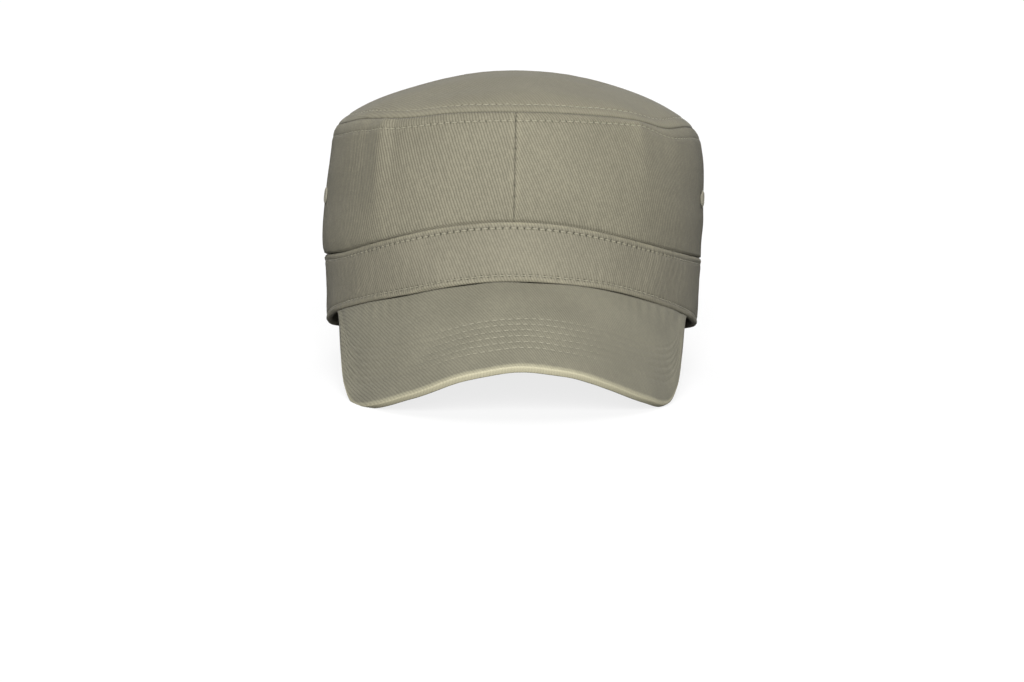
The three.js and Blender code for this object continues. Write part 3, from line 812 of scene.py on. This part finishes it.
def panel_outside(side, angle, up, run):
    """A side panel's outer face with its seams, stitch line and creases, and its two masks."""
    tall = height_of(crown_point, angle)
    down = (1 - up) * tall
    above = up * tall
    from_row = down - crown_row_down(angle)
    seam = np.minimum(run, crown_long - run)
    between = {"edge": down, "row": from_row, "seam": seam, "band": above}
    hole = needle(run / crown_pitch) * bump_at(from_row, CROWN_HOLE_WIDE)
    dot = needle(down / BROW_STITCH) * bump_at(seam - BROW_DOT, BROW_DOT)
    depth = MM * traces(PANEL_RELIEF, between) - CROWN_HOLE_DEEP * hole - BROW_DOT_DEEP * dot
    slack = 0.6 + 0.5 * soft_noise(run, 0 * run, 45, 1, 21 + side)
    pucker = soft_noise(run, down, 7.5, 40, 23 + side)
    depth = depth + PUCKER_HIGH * slack * pucker * np.exp(-down / (8 * MM)) * (1 - bump_at(down, 1 * MM))
    depth = depth + BAND_PUCKER_HIGH * soft_noise(run, above, 8, 40, 25 + side) * np.exp(-above / (6 * MM))
    away_from_seams = (1 - bump_at(down, 14 * MM)) * (1 - bump_at(seam, 20 * MM))
    depth = depth + SLACK_HIGH * soft_noise(run, down, 55, 45, 27 + side) * away_from_seams
    for crease in CREASES:
        if crease["side"] == side:
            length = (crease["to"] - crease["from"]) * MM
            share = np.clip((down - crease["from"] * MM) / length, 0, 1)
            middle = (crease["run"] + crease["drift"] * share) * MM
            bend = CREASE_ROUND * (1 + 2 * share)
            away = np.sqrt((run - middle) ** 2 + bend**2) - bend
            fade = (1 - share**1.6) * (1 - bump_at(down, 1.2 * MM))
            depth = depth - crease["deep"] * MM * np.exp(-away / (crease["wide"] * MM)) * fade
    # Painted shade in needle holes, in the brow seam's stitch dots and along the seams.
    pit_shade = 0.6 * hole + 0.35 * dot + traces(PANEL_SEAM_SHADE, between)
    normal = normal_of(crown_point, angle, up)
    return crown_point(angle, up) + normal * depth[..., None], normal, pit_shade, traces(PANEL_RUB, between)


def make_panel(side, name, material):
    """One side panel, from the brow seam round to the nape seam."""
    angle = side * panel_angles[:, None]
    near_row = crown_row_down(angle) + LEVELS_AT_ROW
    near_edge = LEVELS_AT_EDGE + 0 * angle
    between = (near_row[:, -1:] + near_edge[:, :1]) / 2
    high = 1 - np.hstack([near_row, between, near_edge]) / height_of(crown_point, angle)
    low = LEVELS_AT_BAND + 0 * angle
    middle = np.linspace(0, 1, 38)[1:-1]
    up = np.hstack([low, low[:, -1:] + (high[:, :1] - low[:, -1:]) * middle, high])
    face, normal, pit_shade, rub_and_light = panel_outside(side, angle, up, panel_run[:, None])
    hidden = BAND_WALL + SEAM_GAP
    tuck_up = np.array([1 - CROWN_TUCK / BAND_HEIGHT, 0.85, 1.008]) + 0 * angle
    tuck_base = band_point(angle, tuck_up)
    band_normal = normal_of(band_point, angle, tuck_up)
    inner_up = LEVELS_INSIDE + 0 * angle
    edge_in = crown_point(angle, high[:, -1:]) - normal[:, -1:] * (CROWN_WALL + 0.3 * MM)
    inner = crown_point(angle, inner_up) - normal_of(crown_point, angle, inner_up) * (CROWN_WALL + 0.2 * MM)
    inner_tucked = (tuck_base - band_normal * (hidden + CROWN_WALL))[:, ::-1]
    loops = np.concatenate([tuck_base - band_normal * hidden, face, edge_in, inner, inner_tucked], 1)
    before, count = tuck_up.shape[1], loops.shape[1]
    masks = {"pit_shade": over_loop(pit_shade, before, count), "rub_and_light": over_loop(rub_and_light, before, count)}
    masks["outer_points"] = before + face.shape[1]
    uv = wall_uv(side * panel_run * (RIGHT_CLOTH_SCALE if side > 0 else 1), loops)
    if side < 0:
        loops = loops[::-1]
        uv = uv[::-1]
        masks["pit_shade"] = masks["pit_shade"][::-1]
        masks["rub_and_light"] = masks["rub_and_light"][::-1]
    piece = cloth_mesh(name, lay_down(loops), uv, False, masks)
    piece.data.materials.append(material)
    return piece


PANEL_COLORS = (OLIVE, OLIVE_SHADE, OLIVE_RUBBED)
panel_left_twill = twill_material("panel_left_twill", *PANEL_COLORS, -73, 0.58, 0.2 * MM)
panel_right_twill = twill_material("panel_right_twill", *PANEL_COLORS, -62, 0.58, 0.2 * MM)
crown_thread = thread_material("crown_thread", OLIVE_THREAD)
side_panels = {
    "side_panel_left": make_panel(-1, "side_panel_left_cloth", panel_left_twill),
    "side_panel_right": make_panel(1, "side_panel_right_cloth", panel_right_twill),
}
crown_rows = []
for side, (node, panel) in zip((-1, 1), side_panels.items()):
    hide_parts(node)
    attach(panel, "root")
    solid = needle(panel_run / crown_pitch) < SEWN_THROUGH
    row_angles = side * panel_angles[solid]
    row_up = 1 - crown_row_down(row_angles) / height_of(crown_point, row_angles)
    line, out, _, _ = panel_outside(side, row_angles, row_up, panel_run[solid])
    crown_rows.append((line, out, np.full(len(line), THREAD_STANDS)))
side_stitching = stitches("side_panel_stitching", crown_rows, CROWN_STITCH, 12)
side_stitching.data.materials.append(crown_thread)
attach(side_stitching, "root")


# The top panel
# One oval of twill, eased on to the side panels so that it stands up in a low dome.
# Its edge is turned in against theirs and topstitched, which draws small puckers into it.
# This one has sunk a little, most of all at its left.
TOP_BOWL_SHARE = 0.86
TOP_BOWL_POWER = 2.05
TOP_TURN_POWER = 12
TOP_CENTRE = 0.03
TOP_LINING = 1.55 * MM
TOP_ROW_IN = 4.6 * MM
TOP_SUNK = 0.75 * MM
TOP_SUNK_LEFT = 0.9 * MM
TOP_SUNK_AT = -48 * MM
TOP_SUNK_WIDE = 24 * MM
# What each bump follows, how far from it and how wide in mm, and how high in mm
TOP_RELIEF = [("edge", 0, 0.45, -0.3), ("edge", 1.8, 0.9, 0.05), ("row", 0, 0.6, -0.2)]
TOP_PUCKER_HIGH = 0.16 * MM
TOP_SLACK_HIGH = 0.45 * MM
# How far in from the seam its rings of points lie, in mm, and then as shares of the way out from its middle
TOP_RINGS_AT_EDGE = [0.12, 0.35, 0.65, 1.0, 1.5, 2.1, 2.9, 3.7, 4.1, 4.35, 4.6, 4.85, 5.1, 5.7, 6.7, 8.2]
TOP_RINGS = [10.5, 13, 16, 19, 22, 25, 28.5, 32, 36, 40, 44, 48]
TOP_RINGS_AT_MIDDLE = [0.3, 0.22, 0.15, 0.08]
TOP_INNER_RINGS = (0, 4, 9, 15, 17, 19, 21, 23, 25, 27, 29, 31, 32)


def top_point(angle, share):
    """The top, where share is 1 at the seam and 0 at the dome's middle."""
    angle, share = np.broadcast_arrays(np.asarray(angle, float), np.asarray(share, float))
    seam = crown_point(angle, 1)
    centre = np.array([0, TOP_CENTRE * OUTER_TO_NAPE, 0])
    side = SEWN_LINES["top_seam"]["height"]
    bowl = TOP_BOWL_SHARE * share**TOP_BOWL_POWER
    turn = (1 - TOP_BOWL_SHARE) * share**TOP_TURN_POWER
    point = centre + (seam - centre) * share[..., None]
    point[..., 2] = side + (seam[..., 2] - side) * share**2 + TOP_RISE * (1 - bowl - turn)
    sunk = TOP_SUNK + TOP_SUNK_LEFT * bump_at(point[..., 0] - TOP_SUNK_AT, TOP_SUNK_WIDE)
    point[..., 2] -= sunk * (1 - share**4)
    return point


def top_normal(angle, share):
    """The top's outward normal, straight up at its middle, where the angle means nothing."""
    def from_seam(angle, inward):
        return top_point(angle, 1 - inward)

    slanting = normal_of(from_seam, angle, 1 - np.clip(share, 0.01, 0.999))
    return np.where(np.asarray(share)[..., None] < 0.005, np.array([0, 0, 1.0]), slanting)


top_round = line_length(crown_point(fine_angles, 1))
top_stitch_count = int(round(top_round[-1] / CROWN_STITCH / 4) * 4)
top_columns = top_stitch_count * COLUMNS_PER_STITCH
top_run = np.linspace(0, top_round[-1], top_columns, endpoint=False)
top_angles = np.interp(top_run, top_round, fine_angles)


def top_reach(angle):
    """How far it is from the top's seam to its middle, seen from above."""
    return np.linalg.norm((top_point(angle, 1.0) - top_point(angle, 0.0))[..., :2], axis=-1)


def top_outside(angle, inward, run):
    """The top's outer face at a distance in from its seam, with its edge, stitch line and masks."""
    share = np.clip(1 - inward / top_reach(angle), 1e-4, 1)
    from_row = inward - TOP_ROW_IN
    hole = needle(run / top_round[-1] * top_stitch_count) * bump_at(from_row, CROWN_HOLE_WIDE)
    depth = MM * traces(TOP_RELIEF, {"edge": inward, "row": from_row}) - CROWN_HOLE_DEEP * hole
    pucker = soft_noise(run, 0 * run, 8, 1, 31) * np.exp(-inward / (8 * MM))
    depth = depth + TOP_PUCKER_HIGH * pucker * (1 - bump_at(inward, 0.8 * MM))
    point = top_point(angle, share)
    slack = soft_noise(point[..., 0], point[..., 1], 50, 50, 33) * (1 - bump_at(inward, 16 * MM))
    depth = depth + TOP_SLACK_HIGH * slack
    # Painted shade in needle holes and in the dip of the seam at the edge.
    pit_shade = 0.8 * hole + 0.4 * bump_at(inward, 0.4 * MM)
    rub_and_light = 0.15 * bump_at(inward - 1.5 * MM, 0.8 * MM)
    normal = top_normal(angle, share)
    return point + normal * depth[..., None], normal, pit_shade, rub_and_light


def make_top():
    """Rings of points from the middle of the inner face, over the rim, to the middle of the outer face."""
    rings = []
    for every, lengths in ((1, TOP_RINGS_AT_EDGE), (4, TOP_RINGS)):
        for inward in lengths:
            ring_angles = top_angles[::every]
            rings.append((ring_angles, np.full(len(ring_angles), inward * MM), top_run[::every]))
    for share in TOP_RINGS_AT_MIDDLE:
        rings.append((top_angles[::16], (1 - share) * top_reach(top_angles[::16]), top_run[::16]))
    rings.append((top_angles[:1], top_reach(top_angles[:1]), top_run[:1]))
    outer = [top_outside(*ring) for ring in rings]
    inner = []
    for angle, inward, _ in [rings[k] for k in TOP_INNER_RINGS]:
        share = np.clip(1 - inward / top_reach(angle), 1e-4, 0.999)
        normal = top_normal(angle, share)
        inner.append((top_point(angle, share) - normal * TOP_LINING, normal, 0 * angle, 0 * angle))
    chain = inner[::-1] + outer
    starts = np.cumsum([0] + [len(ring[0]) for ring in chain]).tolist()
    faces = []
    for k in range(len(chain) - 1):
        low, high = len(chain[k][0]), len(chain[k + 1][0])
        few = min(low, high)
        for i in range(few):
            here = [starts[k] + (i * low // few + step) % low for step in range(low // few + 1)]
            there = [starts[k + 1] + (i * high // few + step) % high for step in range(high // few + 1)]
            if few > 1:
                faces.append(here + there[::-1])
            elif high > low:
                faces += [[here[0], b, a] for a, b in zip(there, there[1:])]
            else:
                faces += [[a, b, there[0]] for a, b in zip(here, here[1:])]
    points = np.concatenate([ring[0] for ring in chain])
    corners = [corner for face in faces for corner in face]
    masks = {mask: np.concatenate([ring[k] for ring in chain]) for k, mask in ((2, "pit_shade"), (3, "rub_and_light"))}
    return dressed_mesh("top_panel_cloth", lay_down(points), faces, points[corners, :2], masks)


top_twill = twill_material("top_twill", OLIVE, OLIVE_SHADE, OLIVE_RUBBED, -66, 0.26, 0.14 * MM)
top_panel = make_top()
top_panel.data.materials.append(top_twill)
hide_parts("top_panel")
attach(top_panel, "root")

solid = needle(top_run / top_round[-1] * top_stitch_count) < SEWN_THROUGH
line, out, _, _ = top_outside(top_angles[solid], TOP_ROW_IN, top_run[solid])
line, out = np.vstack([line, line[:1]]), np.vstack([out, out[:1]])
top_rows = [(line, out, np.full(len(line), THREAD_STANDS))]
top_stitching = stitches("top_panel_stitching", top_rows, CROWN_STITCH, 13)
top_stitching.data.materials.append(crown_thread)
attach(top_stitching, "root")


# The peak
# A stiff curved board wrapped in twill and sewn under the band's front edge.
# Six rows of stitching hold cloth and board together; its folded front edge is pale from wear and painted
# light.
PEAK_CORNER_ANGLE = math.radians(69)
PEAK_LENGTH = 57.6 * MM
PEAK_DROP = 38.5 * MM
PEAK_THICKNESS = 3.2 * MM
PEAK_CORNER_THICKNESS = 1.4 * MM
PEAK_CORNER_RUN = 0.35
PEAK_SWELL = 1 * MM
PEAK_LAP_MARGIN = 0.8 * MM
PEAK_SHADOW = 0.05 * MM
PEAK_EDGE = [
    {"across": 0.985, "ahead": 0.06, "down": 0.12},
    {"across": 0.96, "ahead": 0.27, "down": 0.46},
    {"across": 0.927, "ahead": 0.44, "down": 0.8},
    {"across": 0.862, "ahead": 0.585, "down": 1},
    {"across": 0.742, "ahead": 0.735, "down": 0.95},
    {"across": 0.55, "ahead": 0.87, "down": 0.78},
    {"across": 0.285, "ahead": 0.97, "down": 0.585},
    {"across": 0, "ahead": 1, "down": 0.505},
]
# How far this peak has settled up or down, at places from its left to its right, in mm
PEAK_SETTLED = [
    {"place": -78, "rise": 0}, {"place": -66, "rise": 0}, {"place": -50, "rise": -2},
    {"place": -33, "rise": -2.9}, {"place": -15, "rise": -2.2}, {"place": 0, "rise": -1.2},
    {"place": 15, "rise": 0}, {"place": 32, "rise": 1.2}, {"place": 48, "rise": 2.3},
    {"place": 62, "rise": 2.4}, {"place": 78, "rise": 0},
]
PEAK_ROWS = np.array([13.5, 18, 22.5, 27, 31.5, 36]) * MM
PEAK_STITCH = 3.3 * MM
PEAK_COLUMNS = 330
PEAK_LEVELS = 104
PEAK_LOWER_LEVELS = 34
PEAK_RIM_TURNS = np.radians([60, 35, 12, -12, -35, -60])
PEAK_PUCKERS = [(-56 * MM, 15 * MM), (58 * MM, 16 * MM)]
PEAK_PUCKER_WAVE = 4.2 * MM
PEAK_PUCKER_HIGH = 0.26 * MM
PEAK_ROW_WIDE = 0.9 * MM
PEAK_ROW_DEEP = 0.16 * MM
PEAK_PALE_REACH = 1.7 * MM
PEAK_ROW_MARGIN = 1.5 * MM
PEAK_ROW_FADE = 27 * MM
PEAK_THREAD_BELOW = 0.12 * MM
PEAK_SLOPE = math.radians(31.8)
PEAK_HALF_WIDTH = 78 * MM
PEAK_UNROLLED = 0.22
PEAK_CLOTH_SCALE = 1.08

peak_half = len(PEAK_EDGE) - 1
peak_outline = [dict(row, place=i / peak_half) for i, row in enumerate(PEAK_EDGE)]
for i, row in enumerate(PEAK_EDGE[-2::-1]):
    peak_outline.append(dict(row, across=-row["across"], place=1 + (i + 1) / peak_half))


def peak_edge(turn):
    """The peak's edge, where turn is 0 at the right corner, 1 at the tip and 2 at the left corner."""
    corner = band_point(PEAK_CORNER_ANGLE, 0.0)
    tip = band_point(0.0, 0.0)[1] - PEAK_LENGTH
    return np.stack([
        corner[0] * smooth(peak_outline, "across", turn, "place"),
        corner[1] + (tip - corner[1]) * smooth(peak_outline, "ahead", turn, "place"),
        corner[2] - PEAK_DROP * smooth(peak_outline, "down", turn, "place"),
    ], -1)


def peak_root_angle(turn):
    """Where round the band the cloth of a point of the peak's edge is sewn in."""
    share = peak_edge(turn)[..., 0] / peak_edge(0.0)[0]
    return np.arcsin(np.clip(share * math.sin(PEAK_CORNER_ANGLE), -1, 1))


def peak_point(turn, share):
    """The peak's upper cloth, where share is 0 under the band and 1 at the peak's own edge."""
    turn, share = np.broadcast_arrays(np.asarray(turn, float), np.asarray(share, float))
    root = band_point(peak_root_angle(turn), 0.0)
    root[..., 2] -= SEAM_GAP + PEAK_SHADOW
    point = root + (peak_edge(turn) - root) * share[..., None]
    point[..., 2] += PEAK_SWELL * 4 * share * (1 - share)
    point[..., 2] += smooth(PEAK_SETTLED, "rise", peak_edge(turn)[..., 0] / MM, "place") * MM * share
    return point


def peak_outside(turn, share):
    """The peak's upper face with its stitch rows and the puckers under the band, and its masks."""
    turn, share = np.broadcast_arrays(np.asarray(turn, float), np.asarray(share, float))
    long = np.linalg.norm(peak_point(turn, 1.0) - peak_point(turn, 0.0), axis=-1)
    from_edge = (1 - share) * long
    from_band = share * long
    point = peak_point(turn, share)
    x = point[..., 0]
    depth = 0.28 * MM * soft_noise(x, from_edge, 42, 36, 41)
    for row in PEAK_ROWS:
        depth = depth - PEAK_ROW_DEEP * bump_at(from_edge - row, PEAK_ROW_WIDE)
    for middle, wide in PEAK_PUCKERS:
        ripple = np.cos(2 * math.pi * (x - middle) / PEAK_PUCKER_WAVE) * bump_at(x - middle, wide)
        held = np.exp(-from_band / (9 * MM)) * (1 - bump_at(from_band, 2 * MM))
        depth = depth + PEAK_PUCKER_HIGH * ripple * held
    # A pale strip along the edge: partly rubbed wear, partly painted light.
    rub_and_light = 0.6 * np.exp(-((from_edge / PEAK_PALE_REACH) ** 4))
    # Painted shadow along the joint, under the band's lower edge.
    pit_shade = 0.25 * bump_at(from_band, 0.5 * MM)
    normal = normal_of(peak_point, np.clip(turn, 0.01, 1.99), np.clip(share, 0.05, 0.95))
    return point + normal * depth[..., None], normal, pit_shade, rub_and_light


def peak_thickness(turn):
    """The peak's thickness, which runs out towards its corners."""
    t = np.clip(np.minimum(turn, 2 - turn) / PEAK_CORNER_RUN, 0, 1)
    return PEAK_CORNER_THICKNESS + (PEAK_THICKNESS - PEAK_CORNER_THICKNESS) * t * t * (3 - 2 * t)


def make_peak():
    """The peak in loops from corner to corner: under the band, down its face, round its edge and back."""
    turn = np.linspace(0, 2, PEAK_COLUMNS)[:, None]
    upper, normal, pit_shade, rub_and_light = peak_outside(turn, np.linspace(0, 1, PEAK_LEVELS)[None, :])
    thick = peak_thickness(turn)[..., None]
    root_angle = peak_root_angle(turn)
    lap_in = BAND_WALL - PEAK_LAP_MARGIN
    lap = band_point(root_angle, 0.0) - normal_of(band_point, root_angle, 0.0) * lap_in
    lap[..., 2] -= SEAM_GAP
    ends = normal[:, -1:]
    outward = unit(upper[:, -1:] - upper[:, -4:-3])
    middle = upper[:, -1:] - ends * thick / 2
    rim = []
    for at in PEAK_RIM_TURNS:
        rim.append(middle + thick / 2 * (ends * math.sin(at) + outward / 2 * math.cos(at) ** 0.35))
    lower_share = np.linspace(1, 0, PEAK_LOWER_LEVELS)[None, :]
    lower = peak_point(turn, lower_share) - peak_outside(turn, lower_share)[1] * thick
    loops = np.concatenate([lap, upper, *rim, lower, lap - normal[:, :1] * thick], 1)
    rim_rub_and_light = over_loop(rub_and_light, 1, loops.shape[1])
    rim_at = 1 + PEAK_LEVELS
    # The rim faces down and is painted fully pale: rubbed wear plus painted light.
    rim_rub_and_light[:, rim_at : rim_at + len(rim)] = 1
    rim_rub_and_light[:, rim_at + len(rim)] = 0.6
    flat = loops[..., 0] * (1 + PEAK_UNROLLED * (loops[..., 0] / PEAK_HALF_WIDTH) ** 2)
    back = loops[..., 1] * math.cos(PEAK_SLOPE) + loops[..., 2] * math.sin(PEAK_SLOPE)
    uv = np.stack([flat, back], -1) * PEAK_CLOTH_SCALE
    uv = np.concatenate([uv, uv[:, :1]], 1)
    masks = {"pit_shade": over_loop(pit_shade, 1, loops.shape[1]), "rub_and_light": rim_rub_and_light}
    masks["outer_points"] = rim_at + len(rim) // 2
    return cloth_mesh("peak_cloth", lay_down(loops), uv, False, masks)


PEAK_OLIVE = srgb(116, 113, 98)
# The pale colour of the peak's edge strip: rubbed wear and painted light.
PEAK_RUBBED_AND_LIT = srgb(165, 160, 136)
peak_twill = twill_material("peak_twill", PEAK_OLIVE, OLIVE_SHADE, PEAK_RUBBED_AND_LIT, -64, 0.32, 0.11 * MM)
peak = make_peak()
peak.data.materials.append(peak_twill)
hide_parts("peak")
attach(peak, "root")

peak_rows = []
turns = np.linspace(0.02, 1.98, 900)
peak_long = np.linalg.norm(peak_point(turns, 1.0) - peak_point(turns, 0.0), axis=-1)
for row in PEAK_ROWS:
    sewn = peak_long > row + PEAK_ROW_MARGIN
    line, out, _, _ = peak_outside(turns[sewn], 1 - row / peak_long[sewn])
    fade = np.clip(1.5 - np.abs(line[:, 0]) / PEAK_ROW_FADE, 0, 1)
    peak_rows.append((line, out, THREAD_STANDS * fade))
    under = peak_point(turns[sewn], 1 - row / peak_long[sewn])
    under = under - out * peak_thickness(turns[sewn])[:, None]
    peak_rows.append((under, -out, np.full(len(under), PEAK_THREAD_BELOW)))
peak_stitching = stitches("peak_stitching", peak_rows, PEAK_STITCH, 14)
peak_thread = thread_material("peak_thread", srgb(138, 134, 115))
peak_stitching.data.materials.append(peak_thread)
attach(peak_stitching, "root")


# The eyelets
# An air hole in each side panel, bound all round with close satin stitch in the cloth's colour.
# The thread wraps through the hole, so it makes a raised ring on both faces of the panel.
EYELET_ANGLE = math.radians(79)
EYELET_UP = 0.45
EYELET_HOLE = 1.5 * MM
EYELET_BARREL = 2.3 * MM
EYELET_RIM = 3.8 * MM
EYELET_FLANGE = 0.6 * MM
EYELET_WRAPS = 34
WRAP_POINTS = 6
EYELET_ROOM = 0.15 * MM
PUNCH_LENGTH = 12 * MM


def make_eyelet(side, name):
    """A ring of satin stitch, drawn round its own axis and set into the side panel."""
    face = (CROWN_WALL + SEAM_GAP) / 2
    tall = face + EYELET_FLANGE
    profile = [
        (EYELET_HOLE, 0), (EYELET_HOLE + 0.05 * MM, face), (EYELET_HOLE + 0.4 * MM, tall - 0.08 * MM),
        (EYELET_HOLE + 0.95 * MM, tall), (EYELET_HOLE + 1.5 * MM, tall - 0.05 * MM),
        (EYELET_RIM - 0.35 * MM, face + 0.32 * MM), (EYELET_RIM, face),
        (EYELET_RIM - 0.6 * MM, face - 0.12 * MM), (EYELET_BARREL, face - 0.15 * MM), (EYELET_BARREL, 0),
    ]
    profile = profile + [(r, -h) for r, h in profile[-2:0:-1]]
    radius = np.array([r for r, _ in profile])[None, :]
    high = np.array([h for _, h in profile])[None, :]
    around = np.linspace(0, 2 * math.pi, EYELET_WRAPS * WRAP_POINTS, endpoint=False)[:, None]
    draw = np.random.default_rng(51 + side)
    wrap = np.abs(np.sin(EYELET_WRAPS / 2 * around))
    size = np.repeat(draw.uniform(0.75, 1.1, EYELET_WRAPS), WRAP_POINTS)[:, None]
    swell = 0.13 * MM * wrap * size - 0.06 * MM
    slant = around + 0.1 * (radius - EYELET_HOLE) / EYELET_RIM
    end = np.where(radius > EYELET_RIM - 0.5 * MM, draw.uniform(-0.12, 0.12, around.shape) * MM, 0)
    ring = radius + end - np.where(radius < EYELET_BARREL, swell * 0.5, 0)
    out = high + np.sign(high) * swell * (np.abs(high) > face - 0.2 * MM)
    points = np.stack([ring * np.cos(slant), ring * np.sin(slant), out + 0 * slant], -1)
    facing_out = normal_of(crown_point, np.array(side * EYELET_ANGLE), np.array(EYELET_UP))
    middle = crown_point(side * EYELET_ANGLE, EYELET_UP) - facing_out * CROWN_WALL / 2
    across = unit(np.cross([0, 0, 1], facing_out))
    upward = np.cross(facing_out, across)
    points = middle + points[..., :1] * across + points[..., 1:2] * upward + points[..., 2:] * facing_out
    points = points[:, ::-1]
    count = points.shape[1]
    u = np.linspace(0, 1, len(points) + 1)[:, None] * 20 * MM
    v = np.linspace(0, 1, count + 1)[None, :] * 10 * MM
    uv = np.stack(np.broadcast_arrays(u, v), -1)
    none = np.zeros(points.shape[:2])
    return cloth_mesh(name, lay_down(points), uv, True, {"pit_shade": none, "rub_and_light": none})


def cut_eyelet_hole(side, panel):
    """A round hole through the side panel, under the eyelet's ring."""
    facing_out = normal_of(crown_point, np.array(side * EYELET_ANGLE), np.array(EYELET_UP))
    middle = crown_point(side * EYELET_ANGLE, EYELET_UP)
    bpy.ops.mesh.primitive_cylinder_add(vertices=40, radius=EYELET_BARREL + EYELET_ROOM, depth=PUNCH_LENGTH)
    punch = bpy.context.object
    turn = Vector(lean_matrix @ facing_out).to_track_quat("Z", "Y").to_matrix().to_4x4()
    punch.matrix_world = Matrix.Translation(Vector(lay_down(middle[None])[0])) @ turn
    hole = panel.modifiers.new("hole", "BOOLEAN")
    hole.operation = "DIFFERENCE"
    hole.object = punch
    bpy.context.view_layer.update()
    punched = panel.evaluated_get(bpy.context.evaluated_depsgraph_get())
    finished = bpy.data.meshes.new_from_object(punched)
    panel.modifiers.remove(hole)
    panel.data = finished
    bpy.data.objects.remove(punch)


eyelet_thread = thread_material("eyelet_thread", srgb(126, 122, 106))
for side, label in ((-1, "left"), (1, "right")):
    cut_eyelet_hole(side, side_panels[f"side_panel_{label}"])
    eyelet = make_eyelet(side, f"eyelet_{label}_satin")
    eyelet.data.materials.append(eyelet_thread)
    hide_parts(f"eyelet_{label}")
    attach(eyelet, "root")
